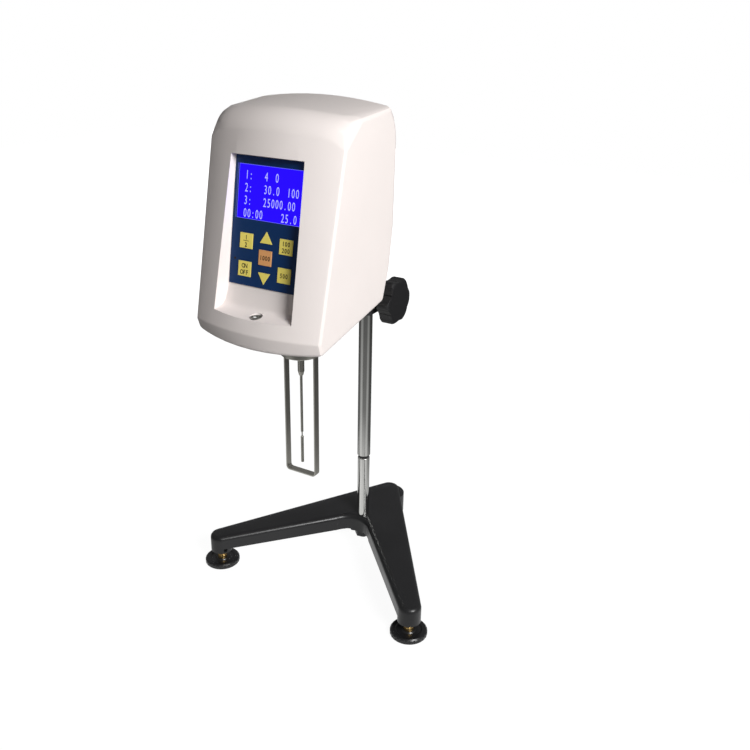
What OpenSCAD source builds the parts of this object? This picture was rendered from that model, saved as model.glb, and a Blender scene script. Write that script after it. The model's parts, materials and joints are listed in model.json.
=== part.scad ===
// Rotational viscometer on a rack-and-pinion lift stand.
// Millimetres. +Z is up, the display faces -Y, and +X is the right-hand side
// as the display is read. The origin is on the table, in the middle of the
// instrument's outline. Most places are measured from the column's axis,
// which stands col_y behind the origin.

/* [Stand] */
// Sideways distance from the middle to each front foot
foot_x = 130; // [110:1:150]
// Distance of the front feet in front of the column
foot_front = 120; // [105:1:135]
// Distance of the rear foot behind the column
foot_rear = 66; // [60:1:74]
// Radius of a leg's rounded front end
leg_tip_r = 13; // [12:0.5:15]
// Radius of the stand's rounded rear end
apex_r = 13; // [10:0.5:18]
// Radius of the round pad over the rear foot
rear_pad_r = 20.7; // [17:0.1:23]
// Radius of the rounded crotch between the legs
crotch_r = 20; // [14:1:26]
// Height of a leg's top at its front end
leg_top = 40.5; // [36:0.5:44]
// Height of the stand's top at its rear end
apex_top = 51.5; // [48:0.5:56]
// Height of a leg's underside at its front end
leg_under = 24; // [20:0.5:26]
// Height of the stand's underside at its rear end
apex_under = 30; // [27:0.5:33]
// Rounding of the casting's upper edges
casting_edge = 5; // [2:0.5:7]
// Thickness of the casting's wall over its hollow underside
casting_wall = 8; // [6:0.5:10]
// Height of the foot pads' lower faces
pad_z = 12; // [10:0.5:14]

/* [Feet] */
// Radius of a foot disc
disc_r = 20.7; // [16:0.1:24]
// Thickness of a foot disc
disc_h = 6.7; // [5:0.1:9]
// Number of grip notches in a foot disc's rim
disc_notches = 24; // [12:1:36]
// Radius of a foot's screw
stud_r = 4; // [3:0.25:5]
// Radius of the collar at the foot of the screw
stud_collar_r = 5.5; // [5.3:0.1:7]
// Length of screw inside the stand
stud_in = 18; // [12:1:22]

/* [Column] */
// Radius of the lower post
post_r = 7.3; // [6.5:0.1:7.5]
// Height of the joint between the post and the column
joint_z = 128; // [90:1:160]
// Thickness of the joint's washer
washer_h = 2; // [1:0.25:4]
// Radius of the column
column_r = 7.9; // [7.8:0.1:9]
// Height of the column's top
column_top = 482; // [470:1:520]
// Module of the lift's rack and pinion
rack_module = 1; // [0.9:0.05:1.1]
// Number of teeth on the lift's pinion
pinion_teeth = 12; // [12:1:14]

/* [Lift] */
// Height of the pinion's axis
lift_z = 330; // [326:1:336]
// Height of the carriage's lower face
carriage_z = 316; // [300:1:318]
// Height of the carriage
carriage_h = 81; // [78:1:100]
// Half-width of the carriage
carriage_hw = 13; // [12.5:0.25:16]
// Distance of the carriage's front face from the column's axis
carriage_front = 14; // [13:0.5:18]
// Distance of the carriage's rear face behind the column's axis
carriage_rear = 21.5; // [21:0.5:26]
// Length of the guide bush at each end of the carriage
bush_l = 6; // [4:0.5:6.5]
// Radius of the pinion's shaft
pinion_shaft_r = 4; // [3:0.25:4.25]
// Radius of the lift knob over its lobes
knob_r = 27; // [20:0.5:32]
// Thickness of the lift knob
knob_h = 16; // [12:0.5:24]
// Distance of the lift knob's inner face from the middle
knob_x = 20.5; // [18:0.5:26]
// How far the head can go down from here
travel_down = 150; // [100:1:160]
// How far the head can go up from here
travel_up = 80; // [40:1:82]

/* [Head] */
// Width of the head
head_w = 144; // [136:1:152]
// Distance from the column's axis forward to the head's lip
head_reach = 217.2; // [212:0.2:222]
// Distance from the column's axis forward to the head's back
head_back = 71.5; // [66:0.5:73]
// Height of the lip, where the lower bevel starts
lip_z = 355; // [350:0.5:358]
// Height of the head's highest point
head_top = 557.5; // [552:0.5:565]
// Angle that the front leans back
front_lean = 12.65; // [12.15:0.05:13.15]
// Radius of the front's bow, seen from above
bow_r = 200; // [180:5:260]
// Radius of the rounding between the front and the top
brow_r = 28; // [22:1:34]
// Rounding of the head's other edges
head_edge = 4.5; // [4:0.25:6]
// Thickness of the housing's wall
wall = 2.8; // [2.4:0.1:3.2]

/* [Panel] */
// Width of the blue panel
panel_w = 77; // [74:0.5:80]
// Height of the blue panel
panel_h = 118; // [116:0.5:120]
// Angle that the panel leans back
panel_lean = 9.62; // [9:0.02:10.2]
// Thickness of the panel's overlay
overlay_t = 1; // [0.9:0.05:1.3]
// Width of the display's window
lcd_w = 73; // [66:0.5:73.5]
// Height of the display's window
lcd_h = 49; // [44:0.5:50]
// Distance of the display's middle above the panel's middle
lcd_up = 27; // [26:0.5:28]
// Width of a square key
key_w = 14.6; // [12:0.1:15]
// Height of a square key
key_h = 14; // [12:0.1:14.5]
// Distance between the key columns
key_pitch_x = 22.3; // [20:0.1:22.5]
// Distance between the key rows of a side column
key_pitch_z = 26; // [24:0.1:27]
// How far the middle key lies below the panel's middle
key_drop = 30.4; // [30:0.1:31.5]
// How far a key travels
key_travel = 0.4; // [0.2:0.05:0.4]
// Radius of the bubble level
level_r = 6; // [4:0.25:6.5]

/* [Measuring parts] */
// Distance from the column's axis forward to the spindle's axis
spindle_reach = 131; // [126:1:136]
// Radius of the spindle's cylinder
rotor_r = 1.6; // [1:0.1:6]
// Length of the spindle's cylinder
rotor_l = 31; // [20:0.5:32]
// Height of the cylinder's lower end
rotor_z = 182.4; // [180:0.2:190]
// Radius of the spindle's neck
neck_r = 0.7; // [0.5:0.1:0.9]
// Radius of the spindle's rod
rod_r = 1.4; // [1:0.1:1.8]
// Radius of the coupling
coupling_r = 3.5; // [3:0.1:5]
// Length of the coupling
coupling_l = 19; // [17:0.5:22]
// Radius of the turning shaft
shaft_r = 1.5; // [1.2:0.1:1.8]
// Half-width of the guard, outside
guard_hw = 18.9; // [18.8:0.1:19.4]
// Width of the guard's strip
guard_w = 7.8; // [6:0.2:10]
// Thickness of the guard's strip
guard_t = 1.5; // [1:0.1:1.7]
// Height of the guard's lower face
guard_z = 170; // [164:0.5:174]
// Inner radius of the guard's bends
guard_bend_r = 3; // [1.5:0.5:5]
// Radius of the guard's collar
collar_r = 21; // [20.6:0.1:22]
// Height of the collar's lower face
collar_z = 308; // [306:0.5:309]
// Length of the guard's collar
collar_l = 14; // [10:0.5:16]
// Module of the drive gears
drive_module = 0.8; // [0.75:0.01:0.82]
// Number of teeth on the drive gear
gear_teeth = 60; // [58:1:61]
// Number of teeth on the motor's pinion
motor_teeth = 15; // [14:1:16]
// Width of the motor
motor_w = 28; // [26:0.5:28.5]
// Turns of the hairspring
spring_turns = 4; // [3:1:5]
// Thickness of the hairspring's strip
spring_t = 0.4; // [0.3:0.05:0.5]

/* [Hidden] */
$fn = 64;
PI = 3.14159265;
EPS = 0.01;            // overlap that joins shapes or clears a cut
HULL_FN = 32;          // facets of a circle inside a hull

fit = 0.05;            // radial clearance of a running or a screwed fit
gap = 0.3;             // clearance between pieces that don't touch
seam = 0.25;           // gap round the back cover
blank_r = 1;           // small rounding of turned edges

// ---- places that follow from the sizes above ----
feet = [[-foot_x, -foot_front], [foot_x, -foot_front], [0, foot_rear]];

// ---- stand ----
inner_r = 10;                                   // round end of a leg beside the post
leg_dir = atan2(foot_front, foot_x);            // heading of a leg's inner edge
casting_slope = (apex_top - leg_top) / (foot_front + foot_rear);
function casting_top(y) = leg_top + casting_slope * (y + foot_front);
under_slope = (apex_under - leg_under) / (foot_front + foot_rear);
function casting_under(y) = leg_under + under_slope * (y + foot_front);
outer_n = [foot_front + foot_rear + 2, foot_x] / norm([foot_front + foot_rear + 2, foot_x]);
outer_off = outer_n * [foot_x, -foot_front] + leg_tip_r;
apex_y = (outer_off - apex_r) / outer_n[1];
post_boss_r = post_r + 9;
post_seat_z = 34;                               // shoulder that the post stands on
thread_r = 5;                                   // the post's threaded lower end
nut_h = 8;
nut_af = 17;                                    // across the nut's flats
post_washer_h = 1;
post_boss_z = 26;
stud_pad_r = leg_tip_r;

// ---- column ----
column_z = joint_z + washer_h;
joint_stud_r = 4;
joint_stud_l = 20;
column_chamfer = 1.5;
cap_h = 5;
rack_flat = column_r - 0.5;                     // tips of the rack's teeth
rack_pitch_y = rack_flat - rack_module;
pinion_pr = pinion_teeth * rack_module / 2;
pinion_y = rack_pitch_y + pinion_pr;
pressure = 25;
backlash = 0.16;                                // shared by the two flanks
rack_low = lift_z - travel_down - 3 * PI * rack_module;
rack_high = lift_z + travel_up + 3 * PI * rack_module;
pinion_face = 12;

// ---- carriage ----
carriage_top = carriage_z + carriage_h;
rod_z = carriage_top - 15;
head_rod_r = 6;
rod_boss_r = 13;
rod_boss_l = 26;
rod_end = carriage_front - 3;                   // how near the rod comes to the column
bush_wall = 2;
lock_y = carriage_front + rod_boss_l / 2;
lock_screw_r = 3;
lock_knob_r = 14;
lock_knob_x = rod_boss_r + 8;
lock_knob_h = 16;
tension_z = lift_z + 26;
tension_r = 3;
tension_head_r = 6.5;
tension_head_h = 7;
pinion_cap = 3;                                 // flange of the pinion's bush

// ---- head outline: lines tangent to circles, in the Y-Z plane ----
half_w = head_w / 2;
draft = 0.8;                                    // the sides lean out towards the top
function flare(z) = 1 + (z - lip_z - 60) * tan(draft) / half_w;
edge = head_edge + 0.2;
bevel_h = 17.5;
bevel_back = 4;
belly = 0.6;                                    // the bevel's lower edge rises sideways
under_rise = 12.5;                              // slope of the head's underside
tail_y = -(head_back + 15.5);
tail_z = lip_z + 10;
knee = [-(head_back + 5.5), tail_z + 33];       // bend low in the back
back_low_z = tail_z + 72;                       // where the flat of the back starts
function side_n(a, b) = [a[1] - b[1], b[0] - a[0]] / norm(b - a);
front_n = [cos(front_lean), -sin(front_lean)];
bevel_n = [bevel_h, bevel_back] / norm([bevel_h, bevel_back]);
under_n = [-sin(under_rise), cos(under_rise)];
lip = [-head_reach, lip_z];
tail = [tail_y, tail_z];
top_rise = 4.3;                                 // the top rises towards its rear edge
top_n = [sin(top_rise), -cos(top_rise)];
crown_r = 390;                                  // arch of the top, seen from the front
soft_r = 10;                                    // of the circles that carry the back's bends
bend_r = 45;                                    // bend from the back's flat to the top
bend_turn = 46;
bend_z = head_top - 39.5;                       // where that bend starts
bend_h = (head_top - bend_z) / sin(bend_turn);
function bend(a) = [-head_back - bend_r * (1 - cos(a)), bend_z + bend_h * sin(a)];
crown_pt = bend(bend_turn);                     // the top's rear edge
brow_corner = 9;                                // rounding of the brow's two ends
brow_run = 3;                                   // how far that rounding reaches past the brow
function meet(p, n, q, m, r) =                  // centre of a circle that touches two lines
    let (a = n * p + r, b = m * q + r, d = n[0] * m[1] - n[1] * m[0])
    [(a * m[1] - b * n[1]) / d, (b * n[0] - a * m[0]) / d];
brow_c = meet(lip, front_n, crown_pt, top_n, brow_r);
// each row: centre, radius, 1 if it follows the bow, share of the crown that it
// follows, 1 if its ends are rounded as the brow's
profile = [
    [meet(lip, front_n, lip, bevel_n, edge), edge, 1, 0, 0],
    [meet(lip, bevel_n, tail, under_n, edge + 0.8), edge + 0.8, 1, -belly, 0],
    [meet(tail, under_n, tail, side_n(tail, knee), edge + 1.8), edge + 1.8, 0, 0, 0],
    [knee - [soft_r, 0], soft_r, 0, 0, 0],
    [[-head_back - soft_r, back_low_z], soft_r, 0, 0, 0],
    each [for (a = [0, 16, 32]) [bend(a) - soft_r * [cos(a), sin(a)], soft_r, 0, sin(a) / sin(bend_turn), 0]],
    [meet(crown_pt, top_n, crown_pt, side_n(bend(32), crown_pt), edge), edge, 0, 1, 0],
    [brow_c - top_n * (brow_r - edge) + brow_run * [cos(top_rise), sin(top_rise)], edge, 1, 1, 0],
    [brow_c, brow_r, 1, 1, 1],
    [brow_c - front_n * (brow_r - edge) - brow_run * [sin(front_lean), cos(front_lean)], edge, 1, 1, 0]];
front_reach = profile[0][1] - profile[0][0][0];
rear_reach = foot_rear + rear_pad_r;
col_y = (front_reach - rear_reach) / 2;
function bow(x) = bow_r - sqrt(bow_r * bow_r - x * x);
function crown(x) = crown_r - sqrt(crown_r * crown_r - x * x);
function front_y(z) = -head_reach + (z - lip_z) * tan(front_lean);
function under_z(y) = tail_z + (y - tail_y) * tan(under_rise);

// ---- display pocket ----
pocket_t = 2.5;                                 // wall behind and round the pocket
panel_low_z = lip_z + 37.8;
panel_rise = panel_h * cos(panel_lean);
panel_low_y = front_y(lip_z + 37.8) + 16.8;
panel_c = [panel_low_y + panel_h * sin(panel_lean) / 2, panel_low_z + panel_rise / 2];
panel_top_y = panel_low_y + panel_h * sin(panel_lean);
panel_top_z = panel_low_z + panel_rise;
rim_top_z = panel_top_z + 2.2;
rim_low_z = lip_z + 13.5;
rim_out = 12;                                   // how far the cut runs out in front
// each row: y, z and half-width of the pocket
pocket = [
    [panel_top_y, panel_top_z, panel_w / 2],
    [panel_low_y, panel_low_z, panel_w / 2],
    [panel_low_y - 4, panel_low_z - 17, panel_w / 2 + 2.5],
    [panel_low_y - 8, panel_low_z - 20.8, panel_w / 2 + 4],
    [front_y(rim_low_z) - rim_out, rim_low_z - 2.8, panel_w / 2 + 8.5],
    [front_y(rim_top_z) - rim_out, rim_top_z + 2.6, panel_w / 2 + 5]];
floor_rise = atan2(panel_low_z - 20.8 - (rim_low_z - 2.8),
    panel_low_y - 8 - (front_y(rim_low_z) - rim_out));
level_y = front_y(rim_low_z) + 8;
level_z = rim_low_z - 2.8 + (level_y - (front_y(rim_low_z) - rim_out)) * tan(floor_rise);
level_x = 3;
level_t = 3;

// ---- keys, in the panel's own plane ----
key_x = 1.2;                                    // the key field's middle
key_proud = 0.5;
key_t = overlay_t + key_proud - key_travel - 0.1;
stem_r = 2;
key_z = -key_drop;
keys = [                                        // x, z, shape: 0 square, 1 up, 2 down
    [key_x, key_z + 18.6, 1], [key_x, key_z - 19.2, 2], [key_x, key_z, 0],
    [key_x - key_pitch_x, key_z + key_pitch_z / 2, 0], [key_x + key_pitch_x, key_z + key_pitch_z / 2, 0],
    [key_x - key_pitch_x, key_z - key_pitch_z / 2, 0], [key_x + key_pitch_x, key_z - key_pitch_z / 2, 0]];
window_t = 0.8;
lcd_ledge = 2.5;
switch_h = 3;
board_t = 1.6;
stem_end = overlay_t + pocket_t + 1.2;
switch_top = stem_end + key_travel + 0.1;
lcd_frame_t = 7;

// ---- chassis and mechanism ----
chassis_t = 4;
chassis_z = tail_z + 5;
chassis_top = chassis_z + chassis_t;
chassis_front = -(head_reach - 35.2);
chassis_rear = tail_y - wall - 1.5;
chassis_hw = half_w - 12;
post_x = chassis_hw - 8;
post_front = chassis_front + 10;
post_rear = chassis_rear - 16;
spindle_y = -spindle_reach;
boss_thread_r = 17;
boss_flange_r = 30;
boss_flange_t = 4;
boss_bore_r = 12;
boss_web = 7;
boss_z = collar_z + 1;
collar_top = collar_z + collar_l;
sleeve_r = 5;
sleeve_bore_r = 3;
upper_plate_t = 4;
pillar_h = 46;
pillar_r = 4;
pillar_at = 38;
pillar_turns = [30, 150, 270];
upper_z = chassis_top + pillar_h;
gear_t = 6;
gear_z = upper_z - 20;
gear_pr = gear_teeth * drive_module / 2;
motor_pr = motor_teeth * drive_module / 2;
motor_x = gear_pr + motor_pr;
motor_h = 30;
motor_shaft_r = 2.5;
drive_bush_flange = 1.2;
sleeve_top = upper_z + upper_plate_t + 7;
encoder_r = motor_x - motor_w / 2 - 1.5;
encoder_t = 1.2;
spindle_disc_r = 20;
spindle_disc_z = chassis_top + 10;
collet_r = 4;
collet_z = chassis_top + 15;
collet_h = 4;
spring_h = 2;
spring_out_r = 16;
shaft_top = sleeve_top + 1;
coupling_z = collar_z - 5 - coupling_l;
shaft_end = coupling_z + coupling_l - 7;
rotor_rod_top = coupling_z + 8;

// ---- back cover ----
cover_hw = half_w - 8;
cover_low = tail_z + 7;
cover_high = bend_z + 3;
lug_z = [back_low_z + 8, cover_high - 10];
lug_x = cover_hw - 6;
lug_r = 5;
screw_r = 1.5;
screw_head_r = 2.8;
screw_head_h = 1.8;
board_y = -head_back - 23;
board_x = 48;
board_z = [back_low_z + 8, cover_high - 30];
rocker_x = 38;
rocker_tilt = 8;
rocker_in = 1.4;                                // its pin's depth behind the cover's face
rocker_pin_r = 1;
rocker_z = back_low_z + 48;
inlet_z = back_low_z + 11;
inlet_x = 38;
serial_x = -26;
probe_x = 18;
vent_x = -30;
vent_z = cover_high - 40;
vent_w = 36;
vent_h = 1.6;
vent_pitch = 4;

// ================= helpers =================
module at_column() { translate([0, col_y, 0]) children(); }
module at_spindle(z = 0) { translate([0, col_y + spindle_y, z]) children(); }
// the panel's plane: X along it, Z up it, -Y out of it
module on_panel() {
    translate([0, col_y + panel_c[0], panel_c[1]]) rotate([-panel_lean, 0, 0]) children();
}
// a cylinder from a along X or Y
module along_x(x0, x1, r) { translate([x0, 0, 0]) rotate([0, 90, 0]) cylinder(h = x1 - x0, r = r); }
module along_y(y0, y1, r) { translate([0, y0, 0]) rotate([-90, 0, 0]) cylinder(h = y1 - y0, r = r); }
module rounded_rect(w, h, r) {
    square([w - 2 * r, h], center = true);
    square([w, h - 2 * r], center = true);
    for (x = [-1, 1], y = [-1, 1]) translate([x * (w / 2 - r), y * (h / 2 - r)]) circle(r);
}
// an involute spur gear's outline
function inv(a) = tan(a) - a * PI / 180;
function roll(rb, r) = r <= rb ? 0 : inv(acos(rb / r)) * 180 / PI;
function gear_points(m, z, slack) =
    let (rp = m * z / 2, rb = rp * cos(pressure), ra = rp + m, rf = rp - 1.25 * m,
        half = 90 / z - slack / 4 / rp * 180 / PI + roll(rb, rp),
        steps = [for (i = [0:3]) max(rb, rf) + (ra - max(rb, rf)) * i / 3])
    [for (k = [0:z - 1]) let (c = 360 * k / z) each concat(
        rf < rb ? [rf * [cos(c - half), sin(c - half)]] : [],
        [for (r = steps) let (a = c - half + roll(rb, r)) r * [cos(a), sin(a)]],
        [for (i = [3:-1:0]) let (r = steps[i], a = c + half - roll(rb, r)) r * [cos(a), sin(a)]],
        rf < rb ? [rf * [cos(c + half), sin(c + half)]] : [])];
module pan_screw(r, l) {
    rotate_extrude() polygon([[0, 0], [screw_head_r, 0], [screw_head_r, screw_head_h * 0.5],
        [screw_head_r * 0.6, screw_head_h], [0, screw_head_h]]);
    translate([0, 0, -l]) cylinder(h = l + EPS, r = r);
}

// ================= stand =================
module rounded_disc(r, z0, z1, e) {
    translate([0, 0, z0]) cylinder(h = z1 - z0 - e, r = r, $fn = HULL_FN);
    translate([0, 0, z1 - e]) rotate_extrude($fn = HULL_FN)
        polygon(concat([[0, 0]], [for (a = [0:22.5:90]) [r - e + e * cos(a), e * sin(a)]]));
}
module leg(side, shrink, drop) {
    inner_y = inner_r / sin(90 - leg_dir);
    hull() {
        translate([side * foot_x, -foot_front, 0])
            rounded_disc(leg_tip_r - shrink, leg_under - 2 * drop, casting_top(-foot_front) - drop, casting_edge);
        translate([0, apex_y, 0])
            rounded_disc(apex_r - shrink, apex_under - 2 * drop, casting_top(apex_y) - drop, casting_edge);
        translate([0, inner_y, 0])
            rounded_disc(inner_r - shrink, casting_under(inner_y) - 2 * drop,
                casting_top(inner_y) - drop, casting_edge);
    }
}
// fills the crotch with a web whose upper edge is rounded like the legs'
module crotch_web() {
    fill_y = crotch_r / sin(90 - leg_dir);
    half = crotch_r * cos(90 - leg_dir);
    deep = fill_y - crotch_r * sin(90 - leg_dir);
    z0 = casting_under(0);
    difference() {
        translate([0, 0, z0]) linear_extrude(casting_top(0) - z0)
            polygon([[0, inner_r], [-half, -deep], [half, -deep]]);
        translate([0, -fill_y, 0]) rotate_extrude() polygon(concat(
            [[0, z0 - 1], [crotch_r, z0 - 1], [crotch_r, casting_top(0) - casting_edge]],
            [for (a = [15:15:90]) [crotch_r + casting_edge * (1 - cos(a)),
                casting_top(0) - casting_edge + casting_edge * sin(a)]],
            [[crotch_r + casting_edge, casting_top(0) + 1], [0, casting_top(0) + 1]]));
    }
}
module base_casting() color("#1b1b1c") at_column() {
    difference() {
        union() {
            difference() {
                union() { for (s = [-1, 1]) leg(s, 0, 0); crotch_web(); }
                for (s = [-1, 1]) leg(s, casting_wall * 0.75, casting_wall);
            }
            translate([0, 0, post_boss_z]) cylinder(h = casting_top(0) - post_boss_z - 1, r = post_boss_r);
            for (i = [0, 1]) translate([feet[i][0], feet[i][1], pad_z])
                cylinder(h = leg_top - 6 - pad_z, r = stud_pad_r);
            translate([0, foot_rear, pad_z]) cylinder(h = apex_top - 8 - pad_z, r = rear_pad_r);
        }
        for (p = feet) translate([p[0], p[1], pad_z - EPS]) cylinder(h = stud_in + 1 + EPS, r = stud_r + fit);
        translate([0, 0, post_boss_z - 1]) cylinder(h = 40, r = thread_r + fit);
        translate([0, 0, post_seat_z]) cylinder(h = 40, r = post_r + fit);
    }
}
module post_nut() color("#8d8f92") at_column() {
    z = post_boss_z - post_washer_h;
    difference() {
        union() {
            translate([0, 0, z]) cylinder(h = post_washer_h, r = nut_af * 0.66);
            translate([0, 0, z - nut_h]) rotate(15) cylinder(h = nut_h + EPS, r = nut_af / sqrt(3), $fn = 6);
        }
        translate([0, 0, z - nut_h - 1]) cylinder(h = nut_h + 4, r = thread_r + fit);
    }
}
module lower_post() color("#c9cacc") at_column() {
    low = post_boss_z - post_washer_h - nut_h - 4;
    rotate_extrude() polygon([[0, low], [thread_r - blank_r, low], [thread_r, low + blank_r],
        [thread_r, post_seat_z], [post_r, post_seat_z], [post_r, joint_z - blank_r],
        [post_r - blank_r, joint_z], [joint_stud_r, joint_z], [joint_stud_r, column_z + joint_stud_l - 1],
        [joint_stud_r - 1, column_z + joint_stud_l], [0, column_z + joint_stud_l]]);
}
module joint_washer() color("#2a2a2c") at_column() translate([0, 0, joint_z])
    difference() {
        cylinder(h = washer_h, r = post_r - 0.8);
        translate([0, 0, -1]) cylinder(h = washer_h + 2, r = joint_stud_r + fit);
    }
// tooth spaces of the rack, cut into the column's rear
module rack_spaces() {
    p = PI * rack_module;
    half = p / 4 + backlash / 4;
    t = tan(pressure);
    root = rack_pitch_y - 1.25 * rack_module;
    low = -floor((lift_z - rack_low) / p);
    high = floor((rack_high - lift_z) / p);
    rotate([90, 0, 90]) linear_extrude(4 * column_r, center = true) polygon(concat(
        [[column_r + 2, lift_z + low * p - half - 3]],
        [[rack_flat, lift_z + low * p - half - 3]],
        [for (k = [low:high]) let (c = lift_z + k * p, w = rack_flat - rack_pitch_y, d = rack_pitch_y - root)
            each [[rack_flat, c - half - w * t], [root, c - half + d * t],
                [root, c + half - d * t], [rack_flat, c + half + w * t]]],
        [[rack_flat, lift_z + high * p + half + 3]],
        [[column_r + 2, lift_z + high * p + half + 3]]));
}
module rack_column() color("#d2d3d5") at_column() difference() {
    rotate_extrude() polygon([[0, column_z], [column_r - column_chamfer, column_z],
        [column_r, column_z + column_chamfer], [column_r, column_top - blank_r],
        [column_r - blank_r, column_top], [0, column_top]]);
    rack_spaces();
    translate([0, 0, column_z - 1]) cylinder(h = joint_stud_l + 2, r = joint_stud_r + fit);
    translate([0, 0, column_top - 9]) cylinder(h = 10, r = joint_stud_r + fit);
}
module column_cap() color("#202022") at_column() translate([0, 0, column_top])
    rotate_extrude() polygon(concat([[0, -8], [joint_stud_r - 0.5, -8], [joint_stud_r, -7], [joint_stud_r, 0],
        [column_r, 0], [column_r, cap_h - 3]],
        [for (a = [0:15:90]) [column_r - 3 + 3 * cos(a), cap_h - 3 + 3 * sin(a)]], [[0, cap_h]]));

// ================= feet =================
module foot_stud(i) color("#b08d4f") at_column() translate([feet[i][0], feet[i][1], 0])
    rotate_extrude() polygon([[0, 2], [stud_collar_r, 2], [stud_collar_r, pad_z - 1.8],
        [stud_r, pad_z - 1.2], [stud_r, pad_z + stud_in - 1], [stud_r - 1, pad_z + stud_in],
        [0, pad_z + stud_in]]);
module foot_disc(i) color("#141414") at_column() translate([feet[i][0], feet[i][1], 0]) {
    notch_r = disc_r * PI / disc_notches * 0.45;
    difference() {
        rotate_extrude() polygon([[0, 0], [disc_r - 1.2, 0], [disc_r, 1.2], [disc_r, disc_h - 1.6],
            [disc_r - 1.6, disc_h], [disc_r * 0.72, disc_h], [disc_r * 0.66, disc_h - 1.4],
            [stud_collar_r + 3, disc_h - 1.4], [stud_collar_r + 2, disc_h], [0, disc_h]]);
        translate([0, 0, 2]) cylinder(h = disc_h, r = stud_collar_r + fit);
        for (k = [0:disc_notches - 1]) rotate(360 * k / disc_notches)
            translate([disc_r + notch_r * 0.35, 0, -1]) cylinder(h = disc_h + 2, r = notch_r, $fn = 16);
    }
}

// ================= lift =================
module clamp_block() color("#2b2c2e") at_column() difference() {
    union() {
        translate([0, (carriage_rear - carriage_front) / 2, carriage_z]) linear_extrude(carriage_h)
            rounded_rect(2 * carriage_hw, carriage_rear + carriage_front, 4);
        translate([0, 0, rod_z]) along_y(-carriage_front - rod_boss_l, -carriage_front + 4, rod_boss_r);
        translate([0, -lock_y, rod_z]) along_x(-rod_boss_r - 3, 0, lock_screw_r + 3);
    }
    translate([0, 0, carriage_z - 1]) cylinder(h = carriage_h + 2, r = column_r + 0.8);
    for (z = [carriage_z - EPS, carriage_top - bush_l])
        translate([0, 0, z]) cylinder(h = bush_l + EPS, r = column_r + fit + bush_wall);
    translate([0, 0, rod_z]) along_y(-carriage_front - rod_boss_l - 1, -rod_end, head_rod_r + fit);
    translate([0, -lock_y, rod_z]) along_x(-rod_boss_r - 4, 0, lock_screw_r + fit);
    translate([0, 0, tension_z]) along_x(-carriage_hw - 1, -column_r, tension_r + fit);
    translate([0, pinion_y, lift_z]) {
        along_x(-carriage_hw - 1, 0, pinion_shaft_r + fit);
        along_x(-pinion_face / 2 - 0.5, carriage_hw + 1, pinion_pr + rack_module + 0.5);
    }
}
module bush(l, r0, r1) difference() {
    cylinder(h = l, r = r1);
    translate([0, 0, -1]) cylinder(h = l + 2, r = r0);
}
module carriage_bushes() color("#b98b4a") at_column() {
    for (z = [carriage_z, carriage_top - bush_l]) translate([0, 0, z])
        bush(bush_l, column_r + fit, column_r + fit + bush_wall);
    translate([pinion_face / 2 + 0.5, pinion_y, lift_z]) rotate([0, 90, 0]) {
        bush(carriage_hw - pinion_face / 2 - 0.5 + 1, pinion_shaft_r + fit, pinion_pr + rack_module + 0.5);
        translate([0, 0, carriage_hw - pinion_face / 2 - 0.5])
            bush(pinion_cap, pinion_shaft_r + fit, pinion_pr + rack_module + 1.5);
    }
}
module tension_screw() color("#a9abad") at_column() translate([0, 0, tension_z]) {
    along_x(-carriage_hw - 3, -column_r - fit, tension_r);
    translate([-carriage_hw - 2, 0, 0]) rotate([0, -90, 0]) difference() {
        cylinder(h = tension_head_h, r = tension_head_r);
        for (k = [0:17]) rotate(20 * k) translate([tension_head_r + 0.3, 0, -1])
            cylinder(h = tension_head_h + 2, r = 0.8, $fn = 16);
        translate([-tension_head_r - 1, -0.6, tension_head_h - 1.6]) cube([2 * tension_head_r + 2, 1.2, 3]);
    }
}
module pinion_shaft() color("#b9babd") at_column() translate([0, pinion_y, lift_z]) rotate([0, 90, 0]) {
    translate([0, 0, -pinion_face / 2]) linear_extrude(pinion_face)
        rotate(180 / pinion_teeth * (pinion_teeth % 2 == 0 ? 0 : 1) - 90)
            polygon(gear_points(rack_module, pinion_teeth, backlash));
    translate([0, 0, -carriage_hw - 1]) cylinder(h = knob_x + knob_h - 4 + carriage_hw + 1, r = pinion_shaft_r);
}
// six lobes with shallow hollows between them
module lobed(r, corner, h) {
    a = (r - corner);
    linear_extrude(h) difference() {
        union() {
            for (k = [0:5]) rotate(60 * k) {
                translate([a, 0]) circle(corner);
                translate([0, -a / 2]) square([a * cos(30) + corner, a]);
            }
        }
        for (k = [0:5]) rotate(60 * k + 30) translate([a * cos(30) + corner + r * 0.9, 0]) circle(r * 0.96);
    }
}
module lift_knob() color("#161617") at_column() translate([knob_x, pinion_y, lift_z])
    rotate([0, 90, 0]) rotate(30) difference() {
        intersection() {
            lobed(knob_r, 5.5, knob_h);
            rotate_extrude() polygon(concat([[0, 0], [knob_r - 2, 0], [knob_r + 0.5, 2], [knob_r + 0.5, knob_h - 5]],
                [for (a = [15:15:90]) [knob_r - 4.5 + 5 * cos(a), knob_h - 5 + 5 * sin(a)]], [[0, knob_h]]));
        }
        translate([0, 0, -1]) cylinder(h = knob_h - 2.5, r = pinion_shaft_r + fit);
        translate([0, 0, -1]) difference() {
            cylinder(h = 5, r = knob_r * 0.62);
            cylinder(h = 12, r = pinion_shaft_r + 4, center = true);
        }
    }
module rod_lock_knob() color("#19191a") at_column() translate([0, -lock_y, rod_z]) {
    along_x(-lock_knob_x - 4, -head_rod_r - fit, lock_screw_r);
    translate([-lock_knob_x, 0, 0]) rotate([0, -90, 0]) intersection() {
        lobed(lock_knob_r, 3.5, lock_knob_h);
        rotate_extrude() polygon([[0, 0], [lock_knob_r * 0.6, 0], [lock_knob_r, 4],
            [lock_knob_r + 0.3, lock_knob_h - 3], [lock_knob_r - 2.5, lock_knob_h], [0, lock_knob_h]]);
    }
}

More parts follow.
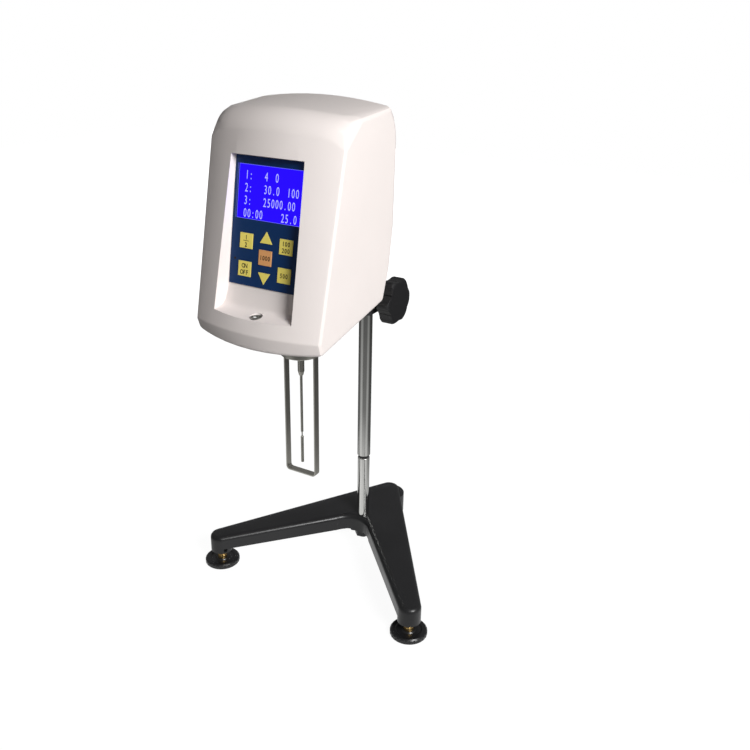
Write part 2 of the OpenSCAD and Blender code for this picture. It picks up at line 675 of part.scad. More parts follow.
// ================= head: housing =================
// the head's outer form, drawn d inside its surface
module head_form(d) at_column() {
    flat_hw = half_w - head_edge;
    round_r = head_edge - d;
    corner_r = brow_corner - d;
    corner_hw = half_w - brow_corner;
    stations = concat(
        [for (k = [-1, -0.87, -0.71, -0.48, -0.24, 0, 0.24, 0.48, 0.71, 0.87, 1]) [k * flat_hw, d]],
        [for (s = [-1, 1], a = [45, 90]) [s * (flat_hw + round_r * sin(a)), d + round_r * (1 - cos(a))]]);
    hull() for (s = stations, c = profile) {
        out = max(0, abs(s[0]) - corner_hw);
        in = c[4] == 1 ? d + corner_r - sqrt(max(0, corner_r * corner_r - out * out)) : s[1];
        y = c[0][0] + c[2] * bow(min(abs(s[0]), flat_hw));
        translate([s[0] * flare(c[0][1]), y, c[0][1] - c[3] * crown(s[0])])
            rotate([0, 90, 0]) cylinder(h = EPS, r = c[1] - in, center = true, $fn = c[1] > 15 ? 48 : 24);
    }
}
// the display pocket; g grows it outwards by a wall
module pocket_form(g, sink) at_column() hull() for (i = [0:5]) {
    p = pocket[i];
    back = i < 2 ? sink / cos(panel_lean) : 0;
    dy = i < 4 ? g / cos(panel_lean) : 0;
    dz = i == 0 ? g : i == 5 ? g : i > 1 ? -g : 0;
    translate([0, p[0] + dy + back, p[1] + dz]) cube([2 * (p[2] + g), EPS, EPS], center = true);
}
module cover_window(clear) at_column() translate([-cover_hw - clear, -head_back - 30, cover_low - clear])
    cube([2 * (cover_hw + clear), 60, cover_high - cover_low + 2 * clear]);
module screw_lug(x, z) translate([x, -head_back - wall - gap - 9, z]) {
    along_y(0, 9, lug_r);
    translate([min(0, sign(x) * 14), 0, -lug_r + 1]) cube([14, 9, 2 * lug_r - 2]);
}
module chassis_posts(r, lift) for (x = [-post_x, post_x], y = [post_front, post_rear])
    translate([x, y, under_z(y) - 4]) cylinder(h = chassis_z - under_z(y) + 4 - lift, r = r);
// the room inside the housing, less all that is moulded onto its walls
module cavity() difference() {
    head_form(wall);
    pocket_form(pocket_t, overlay_t);
    at_column() {
        for (x = [-lug_x, lug_x], z = lug_z) screw_lug(x, z);
        chassis_posts(5, 0);
        translate([level_x, level_y, level_z - 8]) cylinder(h = 10, r = level_r + 2.5);
    }
    on_panel() for (x = [-29, 29], z = [key_z - 25, key_z + 19]) translate([x + key_x, 0, z])
        along_y(overlay_t + pocket_t - 0.5, switch_top + switch_h, 2.5);
}
module main_shell() color("#efe9e6") difference() {
    head_form(0);
    cavity();
    pocket_form(0, overlay_t);
    cover_window(seam);
    on_panel() {
        translate([0, 0, lcd_up]) cube([lcd_w - 2 * lcd_ledge, 20, lcd_h - 2 * lcd_ledge], center = true);
        for (k = keys) translate([k[0], 0, k[1]]) along_y(-5, 8, stem_r + gap);
    }
    translate([level_x, col_y + level_y, level_z - level_t - 1]) cylinder(h = 12, r = level_r + fit);
    at_column() {
        translate([0, spindle_y, 0]) cylinder(h = chassis_z - EPS, r = collar_r + 1);
        for (x = [-lug_x, lug_x], z = lug_z) translate([x, 0, z]) along_y(-head_back - 12.5, 0, screw_r + fit);
        chassis_posts(screw_r + fit, -2);
        for (x = [-post_x, post_x], y = [post_front, post_rear])
            translate([x, y, 0]) cylinder(h = chassis_z - 6, r = screw_head_r + gap);
    }
}
module back_cover() color("#e6e1de") difference() {
    intersection() {
        difference() { head_form(0); head_form(wall); }
        cover_window(0);
    }
    at_column() {
        translate([0, 0, rod_z]) along_y(-120, 0, head_rod_r + 0.8);
        for (x = [-lug_x, lug_x], z = lug_z) translate([x, 0, z]) {
            along_y(-120, 0, screw_r + 0.2);
            along_y(-head_back - screw_head_h, 0, screw_head_r + gap);
        }
        translate([rocker_x, -head_back, rocker_z]) cube([13.1, 20, 19.1], center = true);
        translate([inlet_x, 0, inlet_z]) along_y(-120, 0, 5.5 + fit);
        translate([probe_x, 0, inlet_z]) along_y(-120, 0, 6 + fit);
        translate([serial_x, -head_back, inlet_z]) cube([17.1, 20, 9.1], center = true);
        for (k = [0:5]) translate([vent_x, -head_back, vent_z + vent_pitch * k])
            cube([vent_w, 20, vent_h], center = true);
    }
}
module head_screws() color("#b5b6b8") at_column() {
    for (x = [-lug_x, lug_x], z = lug_z) translate([x, -head_back - screw_head_h, z])
        rotate([-90, 0, 0]) pan_screw(screw_r, 9.5);
    for (x = [-post_x, post_x], y = [post_front, post_rear]) translate([x, y, chassis_z - 6])
        rotate([180, 0, 0]) pan_screw(screw_r, 9);
}

// ================= head: panel =================
module key_shape(kind, slack) {
    w = key_w * 0.92 + 2 * slack;
    h = key_h * 0.76 + 2 * slack;
    if (kind == 0) square([key_w + 2 * slack, key_h + 2 * slack], center = true);
    if (kind == 1) polygon([[-w / 2 - slack, -h / 2], [w / 2 + slack, -h / 2], [0, h / 2 + slack]]);
    if (kind == 2) polygon([[-w / 2 - slack, h / 2], [w / 2 + slack, h / 2], [0, -h / 2 - slack]]);
}
// sheet in the panel's plane, from depth a to depth b behind its face
module sheet(a, b) translate([0, b, 0]) rotate([90, 0, 0]) linear_extrude(b - a) children();
module panel_overlay() color("#0a2a55") on_panel() sheet(0, overlay_t) difference() {
    square([panel_w - 2 * 0.15, panel_h - 2 * 0.3], center = true);
    translate([0, lcd_up]) square([lcd_w + 0.1, lcd_h + 0.1], center = true);
    for (k = keys) translate([k[0], k[1]]) key_shape(k[2], gap / 2);
}
module lcd_window() color([0.16, 0.1, 0.95, 0.5]) on_panel()
    sheet(overlay_t - window_t, overlay_t) translate([0, lcd_up]) square([lcd_w, lcd_h], center = true);
module lcd_module() color("#3b3f8f") on_panel() {
    back = overlay_t + pocket_t;
    translate([0, 0, lcd_up]) {
        sheet(back, back + lcd_frame_t) rounded_rect(lcd_w + 4, lcd_h + 4, 1.5);
        sheet(overlay_t + 0.2, back + EPS) square([lcd_w - 2 * lcd_ledge - 0.6, lcd_h - 2 * lcd_ledge - 0.6], center = true);
        sheet(back + lcd_frame_t - EPS, back + lcd_frame_t + board_t) rounded_rect(lcd_w + 8, lcd_h + 8, 2);
    }
}
module keypad_board() color("#2f6b45") on_panel() {
    face = switch_top + switch_h;
    sheet(face, face + board_t) translate([key_x, key_z - 3]) rounded_rect(66, 56, 2);
    for (k = keys) translate([k[0], 0, k[1]]) {
        along_y(switch_top, switch_top + switch_h + EPS, 1.7);
        sheet(switch_top + 0.8, face + EPS) square(6, center = true);
    }
}
module key(i) color(i == 2 ? "#c88d5b" : "#dfcf68") on_panel() {
    k = keys[i];
    translate([k[0], 0, k[1]]) {
        sheet(-key_proud, key_t - key_proud) key_shape(k[2], 0);
        along_y(key_t - key_proud - EPS, stem_end, stem_r);
    }
}
module level_housing() color("#8f8f90") translate([level_x, col_y + level_y, level_z - level_t - 1])
    difference() {
        cylinder(h = level_t + 0.6, r = level_r);
        translate([0, 0, 1]) cylinder(h = level_t + 1, r = level_r - 1);
    }
module level_glass() color([0.8, 0.86, 0.7, 0.6]) translate([level_x, col_y + level_y, level_z - level_t])
    cylinder(h = level_t - 0.7, r = level_r - 1 - fit);

// ================= head: chassis and boards =================
module head_rod() color("#c4c5c7") at_column() translate([0, 0, rod_z])
    rotate([90, 0, 0]) rotate_extrude() polygon([[0, rod_end + 0.5], [head_rod_r - 1, rod_end + 0.5],
        [head_rod_r, rod_end + 1.5], [head_rod_r, -chassis_rear + 11], [0, -chassis_rear + 11]]);
module rod_bracket() color("#9a9c9f") at_column() difference() {
    translate([-20, chassis_rear - 14, chassis_top]) cube([40, 14, rod_z + head_rod_r + 6 - chassis_top]);
    translate([0, 0, rod_z]) along_y(chassis_rear - 11, chassis_rear + 1, head_rod_r + fit);
}
module chassis_plate() color("#a8aaad") at_column() difference() {
    translate([0, (chassis_front + chassis_rear) / 2, chassis_z]) linear_extrude(chassis_t)
        rounded_rect(2 * chassis_hw, chassis_rear - chassis_front, 6);
    translate([0, spindle_y, chassis_z - 1]) cylinder(h = chassis_t + 2, r = boss_bore_r);
    for (x = [-post_x, post_x], y = [post_front, post_rear])
        translate([x, y, chassis_z - 1]) cylinder(h = chassis_t + 2, r = screw_r + fit);
}
module main_board() color("#256b3c") at_column() {
    h = board_z[1] - board_z[0] + 12;
    translate([0, board_y, (board_z[0] + board_z[1]) / 2]) {
        rotate([90, 0, 0]) linear_extrude(board_t, center = true) difference() {
            rounded_rect(2 * board_x + 12, h, 2);
            for (x = [-board_x, board_x], z = [-1, 1] * (h / 2 - 6)) translate([x, z]) circle(1.6);
        }
        for (c = [[-20, 20, 14, 14, 2.5], [12, 24, 10, 8, 2], [-30, -16, 8, 8, 9], [-18, -16, 8, 8, 9],
            [14, -12, 22, 9, 3]])
            translate([c[0] - c[2] / 2, -board_t / 2 - c[4], c[1] - c[3] / 2]) cube([c[2], c[4] + EPS, c[3]]);
    }
}
module board_standoffs() color("#c9b26a") at_column()
    for (x = [-board_x, board_x], z = board_z) translate([x, 0, z]) {
        rotate([-90, 0, 0]) translate([0, 0, board_y + board_t / 2]) cylinder(
            h = -head_back - wall - board_y - board_t / 2, r = 3, $fn = 6);
        along_y(board_y - board_t / 2 - 1, board_y + board_t, 1.5);
    }
module power_switch() color("#1c1c1d") at_column() translate([rocker_x, -head_back, rocker_z]) difference() {
    union() {
        translate([-7.5, 0, -10.5]) cube([15, 1.6, 21]);
        translate([-6.5, -13, -9.5]) cube([13, 13 + EPS, 19]);
    }
    translate([-4.5, -7, -7.5]) cube([9, 20, 15]);
    translate([0, -rocker_in, 0]) along_x(-5.8, 5.8, rocker_pin_r + fit);
}
// its face is a shallow V; the lower half stands out when it is off
module power_rocker() color("#3a0f0f") at_column() translate([rocker_x, -head_back - rocker_in, rocker_z]) {
    rotate([rocker_tilt, 0, 0]) rotate([90, 0, 90]) linear_extrude(8.4, center = true)
        polygon([[-3.5, -4], [-3.5, 4], [2.4, 7], [1.4, 0], [2.4, -7]]);
    along_x(-5.5, 5.5, rocker_pin_r);
}
module dc_inlet() color("#232324") at_column() translate([inlet_x, 0, inlet_z]) difference() {
    union() {
        along_y(-head_back, -head_back + 1.6, 7);
        along_y(-head_back - 12, -head_back + EPS, 5.5);
    }
    along_y(-head_back - 9.5, -head_back + 3, 2.85);
}
module serial_port() color("#9ea1a4") at_column() translate([serial_x, -head_back, inlet_z]) {
    translate([-15, 0, -6.2]) cube([30, 1, 12.4]);
    rotate([-90, 0, 0]) translate([0, 0, -10]) linear_extrude(16) difference() {
        polygon([[-8.4, 4.2], [8.4, 4.2], [7.4, -4.2], [-7.4, -4.2]]);
        polygon([[-7.6, 3.4], [7.6, 3.4], [6.7, -3.4], [-6.7, -3.4]]);
    }
    translate([-8.2, -10, -4]) cube([16.4, 12, 8]);
}
module probe_socket() color("#a9abae") at_column() translate([probe_x, 0, inlet_z]) difference() {
    union() {
        along_y(-head_back, -head_back + 1.6, 7.5);
        along_y(-head_back - 11, -head_back + EPS, 6);
    }
    along_y(-head_back - 8, -head_back + 3, 4.1);
}

// ================= measuring parts =================
module lower_boss() color("#c5c6c8") at_spindle() difference() {
    rotate_extrude() polygon([[0, boss_z], [boss_thread_r - 1, boss_z], [boss_thread_r, boss_z + 1],
        [boss_thread_r, collar_top + gap], [collar_r, collar_top + gap], [collar_r, chassis_z - boss_flange_t],
        [boss_flange_r, chassis_z - boss_flange_t], [boss_flange_r, chassis_z], [0, chassis_z]]);
    translate([0, 0, boss_z + boss_web]) cylinder(h = 90, r = boss_bore_r);
    translate([0, 0, boss_z - 1]) cylinder(h = 90, r = shaft_r + fit);
}
module guard_side(s) {
    x0 = guard_hw - guard_t;
    bend_z = guard_z + guard_t + guard_bend_r;
    translate([s > 0 ? x0 : -guard_hw, -guard_w / 2, bend_z])
        cube([guard_t, guard_w, collar_z + 3 - bend_z]);
    translate([s * (x0 - guard_bend_r), 0, bend_z]) rotate([90, 0, 0]) rotate(s > 0 ? 270 : 180)
        rotate_extrude(angle = 90) translate([guard_bend_r, -guard_w / 2]) square([guard_t, guard_w]);
}
module spindle_guard() color("#c8c9cb") at_spindle() {
    flat = guard_hw - guard_t - guard_bend_r;
    for (s = [-1, 1]) guard_side(s);
    translate([-flat, -guard_w / 2, guard_z]) cube([2 * flat, guard_w, guard_t]);
    difference() {
        rotate_extrude() polygon([[0, collar_z], [collar_r - blank_r, collar_z], [collar_r, collar_z + blank_r],
            [collar_r, collar_top], [0, collar_top]]);
        translate([0, 0, collar_z - 1]) cylinder(h = collar_l + 2, r = boss_thread_r + fit);
    }
}
module mechanism_pillars() color("#b4b5b7") for (a = pillar_turns) at_spindle() rotate(a)
    translate([pillar_at, 0, chassis_top]) cylinder(h = pillar_h, r = pillar_r);
module upper_plate() color("#a8aaad") at_spindle(upper_z) linear_extrude(upper_plate_t) difference() {
    union() {
        for (a = pillar_turns) rotate(a) translate([pillar_at, 0]) circle(pillar_r + 3);
        circle(pillar_at - 2);
        translate([motor_x, 0]) rounded_rect(motor_w + 6, motor_w + 6, 3);
    }
    circle(sleeve_r + fit + 2);
    translate([motor_x, 0]) circle(11);
}
module stepper_motor() color("#3c3d40") at_spindle(upper_z + upper_plate_t) translate([motor_x, 0, 0]) {
    linear_extrude(motor_h) difference() {
        square(motor_w, center = true);
        for (k = [0:3]) rotate(90 * k) translate([motor_w / 2, motor_w / 2]) rotate(45)
            square(4, center = true);
    }
    translate([0, 0, -2]) cylinder(h = 2 + EPS, r = 11 - fit);
}
module motor_pinion() color("#c2a468") at_spindle(gear_z) translate([motor_x, 0, 0]) {
    linear_extrude(gear_t) rotate(180 + 180 / motor_teeth)
        polygon(gear_points(drive_module, motor_teeth, backlash));
    cylinder(h = upper_z + upper_plate_t - 2 - gap - gear_z, r = motor_shaft_r);
}
module drive_bush() color("#b98b4a") at_spindle(upper_z) difference() {
    union() {
        cylinder(h = upper_plate_t, r = sleeve_r + fit + 2 - fit);
        translate([0, 0, upper_plate_t]) cylinder(h = drive_bush_flange, r = sleeve_r + 4);
    }
    translate([0, 0, -1]) cylinder(h = 12, r = sleeve_r + fit);
}
module drive_gear() color("#c8ab6e") at_spindle() difference() {
    union() {
        translate([0, 0, gear_z]) linear_extrude(gear_t) polygon(gear_points(drive_module, gear_teeth, backlash));
        translate([0, 0, gear_z - 3]) cylinder(h = upper_z - gap - gear_z + 3, r = sleeve_r + 2);
        translate([0, 0, gear_z - 3]) cylinder(h = sleeve_top - gear_z + 3, r = sleeve_r);
        translate([spring_out_r + spring_t + 1.5, 0, collet_z]) cylinder(h = gear_z - collet_z + EPS, r = 1.5);
    }
    translate([0, 0, gear_z - 5]) cylinder(h = sleeve_top - gear_z - 1, r = sleeve_bore_r);
    translate([0, 0, gear_z]) cylinder(h = 60, r = shaft_r + fit);
    for (k = [0:4]) rotate(72 * k + 36) translate([gear_pr * 0.62, 0, gear_z - 1]) cylinder(h = gear_t + 2, r = 4);
}
module slotted_disc(r, t, n) linear_extrude(t) difference() {
    circle(r);
    for (k = [0:n - 1]) rotate(360 * k / n) translate([r - 3.4, -0.5]) square([2.4, 1]);
}
module drive_encoder() color("#2f3033") at_spindle() {
    low = upper_z + upper_plate_t + drive_bush_flange + 0.1;
    difference() {
        union() {
            translate([0, 0, low + 2]) slotted_disc(encoder_r, encoder_t, 24);
            translate([0, 0, low]) cylinder(h = 4.5, r = sleeve_r + 2);
        }
        translate([0, 0, low - 1]) cylinder(h = 10, r = sleeve_r + fit);
    }
}
module opto(z0, z1, slot) difference() {
    translate([-4, -3, z0]) cube([8, 6, z1 - z0]);
    translate([-5, -4, slot - 1.2]) cube([6.5, 8, 2.4 + encoder_t]);
}
module position_sensors() color("#1f2022") {
    low = upper_z + upper_plate_t;
    at_spindle() rotate(150) translate([encoder_r + 0.8, 0, 0])
        opto(low, low + 9, low + drive_bush_flange + 2.1);
    at_spindle() rotate(90 + 60) translate([spindle_disc_r + 0.8, 0, 0])
        opto(chassis_top, spindle_disc_z + 4.5, spindle_disc_z);
}
module hairspring() color("#c9b37a") at_spindle(collet_z + 1) {
    r0 = collet_r + fit;
    r1 = spring_out_r;
    steps = 24 * spring_turns;
    linear_extrude(spring_h) polygon(concat(
        [for (i = [0:steps]) let (r = r0 + (r1 - r0) * i / steps, a = 15 * i) r * [cos(a), sin(a)]],
        [for (i = [steps:-1:0]) let (r = r0 + spring_t + (r1 - r0) * i / steps, a = 15 * i) r * [cos(a), sin(a)]]));
}
module pivot_shaft() color("#c9cacd") at_spindle() {
    translate([0, 0, shaft_end]) cylinder(h = shaft_top - shaft_end, r = shaft_r);
    translate([0, 0, collet_z]) cylinder(h = collet_h, r = collet_r);
}
module spindle_encoder() color("#2f3033") at_spindle() difference() {
    union() {
        translate([0, 0, spindle_disc_z]) slotted_disc(spindle_disc_r, encoder_t, 40);
        translate([0, 0, spindle_disc_z - 3]) cylinder(h = 7, r = 4.5);
    }
    translate([0, 0, spindle_disc_z - 4]) cylinder(h = 10, r = shaft_r + fit);
}
module spindle_coupling() color("#bfc0c3") at_spindle() difference() {
    top = coupling_z + coupling_l;
    rotate_extrude() polygon([[0, coupling_z], [rod_r + 0.8, coupling_z], [coupling_r, coupling_z + 5],
        [coupling_r, top - 1], [coupling_r - 1, top], [0, top]]);
    translate([0, 0, shaft_end - 0.3]) cylinder(h = 20, r = shaft_r + fit);
    translate([0, 0, coupling_z - 1]) cylinder(h = rotor_rod_top - coupling_z + 1.3, r = rod_r + fit);
}
module spindle_rotor() color("#b4b5b8") at_spindle() {
    top = rotor_z + rotor_l;
    neck_top = top + 4.6;
    rotate_extrude() polygon([[0, rotor_z], [rotor_r - 0.3, rotor_z], [rotor_r, rotor_z + 0.3],
        [rotor_r, top - 0.3], [rotor_r - 0.3, top], [neck_r, top], [neck_r, neck_top],
        [rod_r, neck_top + 1], [rod_r, rotor_rod_top], [0, rotor_rod_top]]);
}

base_casting();
post_nut();
lower_post();
joint_washer();
rack_column();
column_cap();
foot_stud(0);  // stud_left
foot_stud(1);  // stud_right
foot_stud(2);  // stud_rear
foot_disc(0);  // disc_left
foot_disc(1);  // disc_right
foot_disc(2);  // disc_rear
clamp_block();
carriage_bushes();
tension_screw();
pinion_shaft();
lift_knob();
rod_lock_knob();
head_rod();
rod_bracket();
chassis_plate();
main_shell();
back_cover();
head_screws();
panel_overlay();
lcd_window();
lcd_module();
keypad_board();
key(0);  // key_up
key(1);  // key_down
key(2);  // key_enter
key(3);  // key_mode
key(4);  // key_timer
key(5);  // key_run
key(6);  // key_print
level_housing();
level_glass();
main_board();
board_standoffs();
lower_boss();
spindle_guard();
mechanism_pillars();
upper_plate();
stepper_motor();
motor_pinion();
drive_bush();
drive_gear();
drive_encoder();
position_sensors();
hairspring();
pivot_shaft();
spindle_encoder();
spindle_coupling();
spindle_rotor();
power_switch();
power_rocker();
dc_inlet();
serial_port();
probe_socket();
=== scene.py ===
"""A rotational viscometer on its stand: finishes, panel, lamps and camera."""

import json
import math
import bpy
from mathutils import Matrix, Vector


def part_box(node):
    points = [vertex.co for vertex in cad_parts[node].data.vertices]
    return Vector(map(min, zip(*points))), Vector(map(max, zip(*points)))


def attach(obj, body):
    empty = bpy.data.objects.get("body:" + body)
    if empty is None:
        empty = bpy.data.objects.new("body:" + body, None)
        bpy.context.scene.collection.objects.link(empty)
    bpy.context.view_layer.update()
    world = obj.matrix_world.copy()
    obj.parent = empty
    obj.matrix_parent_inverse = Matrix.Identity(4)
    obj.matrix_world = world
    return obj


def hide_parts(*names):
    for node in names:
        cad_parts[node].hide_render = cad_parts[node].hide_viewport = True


bl_info = {
    "name": "Rotational Viscometer",
    "version": (1, 0, 0),
    "blender": (4, 5, 0),
    "location": "View3D > Sidebar > Viscometer",
    "description": "Dresses a rotational viscometer and sets a plain studio round it",
    "category": "Object",
}

import bpy
from bpy.props import FloatProperty, FloatVectorProperty, PointerProperty
from mathutils import Matrix, Vector

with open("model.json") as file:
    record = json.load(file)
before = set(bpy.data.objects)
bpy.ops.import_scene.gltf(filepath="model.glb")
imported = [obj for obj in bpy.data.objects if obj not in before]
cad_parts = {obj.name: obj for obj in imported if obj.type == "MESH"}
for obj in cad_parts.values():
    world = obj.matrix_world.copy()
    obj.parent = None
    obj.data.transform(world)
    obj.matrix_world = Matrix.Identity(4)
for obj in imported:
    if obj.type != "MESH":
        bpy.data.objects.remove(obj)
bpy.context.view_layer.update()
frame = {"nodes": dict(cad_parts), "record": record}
NODES = frame["nodes"]
SLOT_OF = {p["node"]: p["material_slot"] for p in frame["record"]["subparts"]}
BODY_OF = {n: b for b, ns in frame["record"]["behaviour"]["bodies"].items() for n in ns}
MM = 0.001
MERGE_GAP = 0.000015
SHORT_EDGE = 0.00002
FLAT_ANGLE = math.radians(0.6)
BEVEL_ANGLE = math.radians(35.0)
NORMAL_WEIGHT = 60
TOOL_MARKS = 2600.0
TOOL_MARK_DEPTH = 0.000012
HAIRLINE_DEPTH = 0.000003
PRINT_GRAIN = 0.000015
PRINT_GLOSS = 0.25
FLOOR_DROP = 0.0002
LAMP_AIM = (0.0, -0.05, 0.42)
DISPLAY_Z = 27 * MM


# ---------------------------------------------------------------- sizes and colours
def tint(name, default, about):
    return FloatVectorProperty(name=name, subtype="COLOR", size=3, min=0.0, max=1.0, default=default,
                               description=about)


def length(name, default, about):
    return FloatProperty(name=name, subtype="DISTANCE", unit="LENGTH", default=default, min=0.0,
                         precision=5, description=about)


class HousingSizes(bpy.types.PropertyGroup):
    shell: tint("Shell", (0.885, 0.815, 0.785), "Colour of the moulded housing")
    roughness: FloatProperty(name="Roughness", default=0.42, min=0.0, max=1.0,
                             description="Roughness of the housing's paint")
    grain: length("Grain", 0.00003, "Depth of the fine texture in the housing's paint")
    edge: length("Edge", 0.0004, "Width of the small bevel on moulded edges")


class PanelSizes(bpy.types.PropertyGroup):
    film: tint("Film", (0.003, 0.03, 0.115), "Colour of the panel's printed film")
    lit: tint("Lit display", (0.018, 0.0, 1.0), "Colour of the lit display")
    glyph: tint("Figures", (0.5, 0.48, 1.0), "Colour of the display's figures")
    key: tint("Keys", (0.93, 0.78, 0.17), "Colour of the keys")
    middle_key: tint("Middle key", (0.78, 0.38, 0.15), "Colour of the middle key")
    lean: FloatProperty(name="Lean", subtype="ANGLE", unit="ROTATION", default=math.radians(9.62),
                        description="Angle that the panel leans back")
    middle: FloatVectorProperty(name="Middle", subtype="TRANSLATION", size=3, precision=5,
                                default=(0.0, -0.11687, 0.45097),
                                description="Middle of the panel's face")
    line: tint("Display line", (0.16, 0.16, 0.85), "Colour of the line round the display")
    ink: tint("Key ink", (0.02, 0.012, 0.006), "Colour of the figures on the keys")
    figure_h: length("Figure height", 0.0112, "Size of the display's figures")
    figure_pitch: length("Figure pitch", 0.0045, "Distance from figure to figure in the display")
    figure_squeeze: FloatProperty(name="Figure squeeze", default=0.64, min=0.1,
                                  description="How much narrower the display's figures are than usual")


class StandSizes(bpy.types.PropertyGroup):
    casting: tint("Casting", (0.012, 0.012, 0.013), "Colour of the stand's enamel")
    chrome: tint("Chrome", (0.6, 0.6, 0.58), "Colour of the chromed column")
    tip_radius: length("Leg tip", 0.013, "Radius of a leg's round end")
    crotch: length("Crotch", 0.027, "Radius of the sweep between the legs")
    web_low: length("Web underside", 0.0279, "Height of the web's underside")
    web_top: length("Web top", 0.0466, "Height of the web's top at its front")
    web_edge: length("Web edge", 0.005, "Rounding of the web's upper edge")
    web_slope: FloatProperty(name="Web slope", default=0.059,
                             description="How the web's top climbs backwards")
    pad_gap: length("Pad gap", 0.006, "How much of each foot screw shows under its pad")
    brass: tint("Brass", (0.62, 0.42, 0.16), "Colour of the foot screws")
    plastic: tint("Black plastic", (0.011, 0.011, 0.012), "Colour of the knobs and the foot discs")


class MeasuringSizes(bpy.types.PropertyGroup):
    stainless: tint("Stainless", (0.52, 0.51, 0.46), "Colour of the guard and the spindle")


class StudioSizes(bpy.types.PropertyGroup):
    azimuth: FloatProperty(name="Azimuth", subtype="ANGLE", unit="ROTATION",
                           default=math.radians(29.39), description="Heading of the camera")
    pitch: FloatProperty(name="Pitch", subtype="ANGLE", unit="ROTATION",
                         default=math.radians(23.33), description="How far the camera looks down")
    roll: FloatProperty(name="Roll", subtype="ANGLE", unit="ROTATION",
                        default=math.radians(1.15), description="How far the camera is turned")
    lens: FloatProperty(name="Lens", default=41.175, min=1.0, description="Focal length in millimetres")
    place: FloatVectorProperty(name="Camera", subtype="TRANSLATION", size=3, precision=5,
                               default=(0.46446, -0.73539, 0.63551), description="Where the camera stands")
    key_heading: FloatProperty(name="Key heading", subtype="ANGLE", unit="ROTATION",
                               default=math.radians(65.0), description="How far round the key lamp stands")
    key_height: FloatProperty(name="Key height", subtype="ANGLE", unit="ROTATION",
                              default=math.radians(26.5), description="How high the key lamp stands")
    key_power: FloatProperty(name="Key lamp", default=46.0, min=0.0, unit="POWER",
                             description="Power of the large lamp on the right")
    back_heading: FloatProperty(name="Back heading", subtype="ANGLE", unit="ROTATION",
                                default=math.radians(218.0), description="How far round the back lamp stands")
    back_height: FloatProperty(name="Back height", subtype="ANGLE", unit="ROTATION",
                               default=math.radians(4.0), description="How high the back lamp stands")
    back_power: FloatProperty(name="Back lamp", default=36.0, min=0.0, unit="POWER",
                              description="Power of the lamp behind the object")
    lamp_reach: length("Lamp reach", 2.0, "How far off both lamps stand")
    lamp_size: length("Lamp size", 0.8, "Width of both lamps")
    ambient: FloatProperty(name="Ambient", default=0.06, min=0.0,
                           description="Level of the light from all round")
    dim: FloatProperty(name="Dim room", default=0.22, min=0.0,
                       description="Level of the room that shiny pieces mirror")
    floor_colour: tint("Floor colour", (0.4, 0.4, 0.4), "Colour of the floor's own surface")
    floor_glow: FloatProperty(name="Floor glow", default=1.26, min=0.0,
                              description="Level of the white that the floor shows")
    floor_white: FloatProperty(name="Floor white", default=0.75, min=0.0, max=1.0,
                               description="How far the floor shows as plain white")
    floor: length("Floor", 6.0, "Width of the floor")


# ---------------------------------------------------------------- finishes
class Varying:
    """A value that varies over a surface. Arithmetic on it adds Math nodes."""

    def __init__(self, finish, socket):
        self.finish, self.socket = finish, socket

    def _math(self, operation, *values):
        return self.finish.node("Math", {"operation": operation}, dict(enumerate(values)))

    def __add__(self, other):
        return self._math("ADD", self, other)

    __radd__ = __add__

    def __sub__(self, other):
        return self._math("SUBTRACT", self, other)

    def __rsub__(self, other):
        return self._math("SUBTRACT", other, self)

    def __mul__(self, other):
        return self._math("MULTIPLY", self, other)

    __rmul__ = __mul__

    def __truediv__(self, other):
        return self._math("DIVIDE", self, other)


class Finish:
    """One material, built node by node round a Principled shader."""

    def __init__(self, name, colour, roughness=0.5, metallic=0.0, **sockets):
        self.material = bpy.data.materials.new(name)
        self.material.use_nodes = True
        self.tree = self.material.node_tree
        self.shader = self.tree.nodes["Principled BSDF"]
        self.material.diffuse_color = (*colour, 1.0)
        self.set("Base Color", (*colour, 1.0))
        self.set("Roughness", roughness)
        self.set("Metallic", metallic)
        for socket, value in sockets.items():
            self.set(socket.replace("_", " "), value)
        self.here = self.node("TexCoord", out="Object")

    def node(self, kind, settings=None, inputs=None, out=0):
        """Adds a node, sets it up, feeds its inputs and returns one of its outputs."""
        node = self.tree.nodes.new("ShaderNode" + kind)
        for name, value in (settings or {}).items():
            if name == "stops":
                ramp = node.color_ramp.elements
                while len(ramp) < len(value):
                    ramp.new(0.5)
                for element, (at, level) in zip(ramp, value):
                    element.position = at
                    element.color = (level, level, level, 1.0) if isinstance(level, float) else (*level, 1.0)
            else:
                setattr(node, name, value)
        for name, value in (inputs or {}).items():
            self._feed(node.inputs[name], value)
        return Varying(self, node.outputs[out])

    def _feed(self, socket, value):
        if isinstance(value, Varying):
            self.tree.links.new(value.socket, socket)
        else:
            socket.default_value = value

    def set(self, socket, value):
        self._feed(self.shader.inputs[socket], value)

    def noise(self, scale, detail=2.0, stretch=(1.0, 1.0, 1.0)):
        place = self.node("Mapping", inputs={"Vector": self.here, "Scale": stretch})
        return self.node("TexNoise", inputs={"Vector": place, "Scale": scale, "Detail": detail})

    def lines(self, scale, direction="Z", wobble=0.0):
        return self.node("TexWave", {"wave_type": "BANDS", "bands_direction": direction},
                         {"Vector": self.here, "Scale": scale, "Distortion": wobble}, out="Fac")

    def blend(self, share, first, second):
        return self.node("Mix", {"data_type": "RGBA"},
                         {0: share, 6: first if isinstance(first, Varying) else (*first, 1.0),
                          7: second if isinstance(second, Varying) else (*second, 1.0)}, out=2)

    def ramp(self, value, *stops):
        return self.node("ValToRGB", {"stops": stops}, {0: value})

    def relief(self, height, depth, strength=1.0):
        self.set("Normal", self.node("Bump", inputs={"Height": height, "Distance": depth,
                                                     "Strength": strength}))


def shade(colour, level):
    return tuple(min(1.0, c * level) for c in colour)


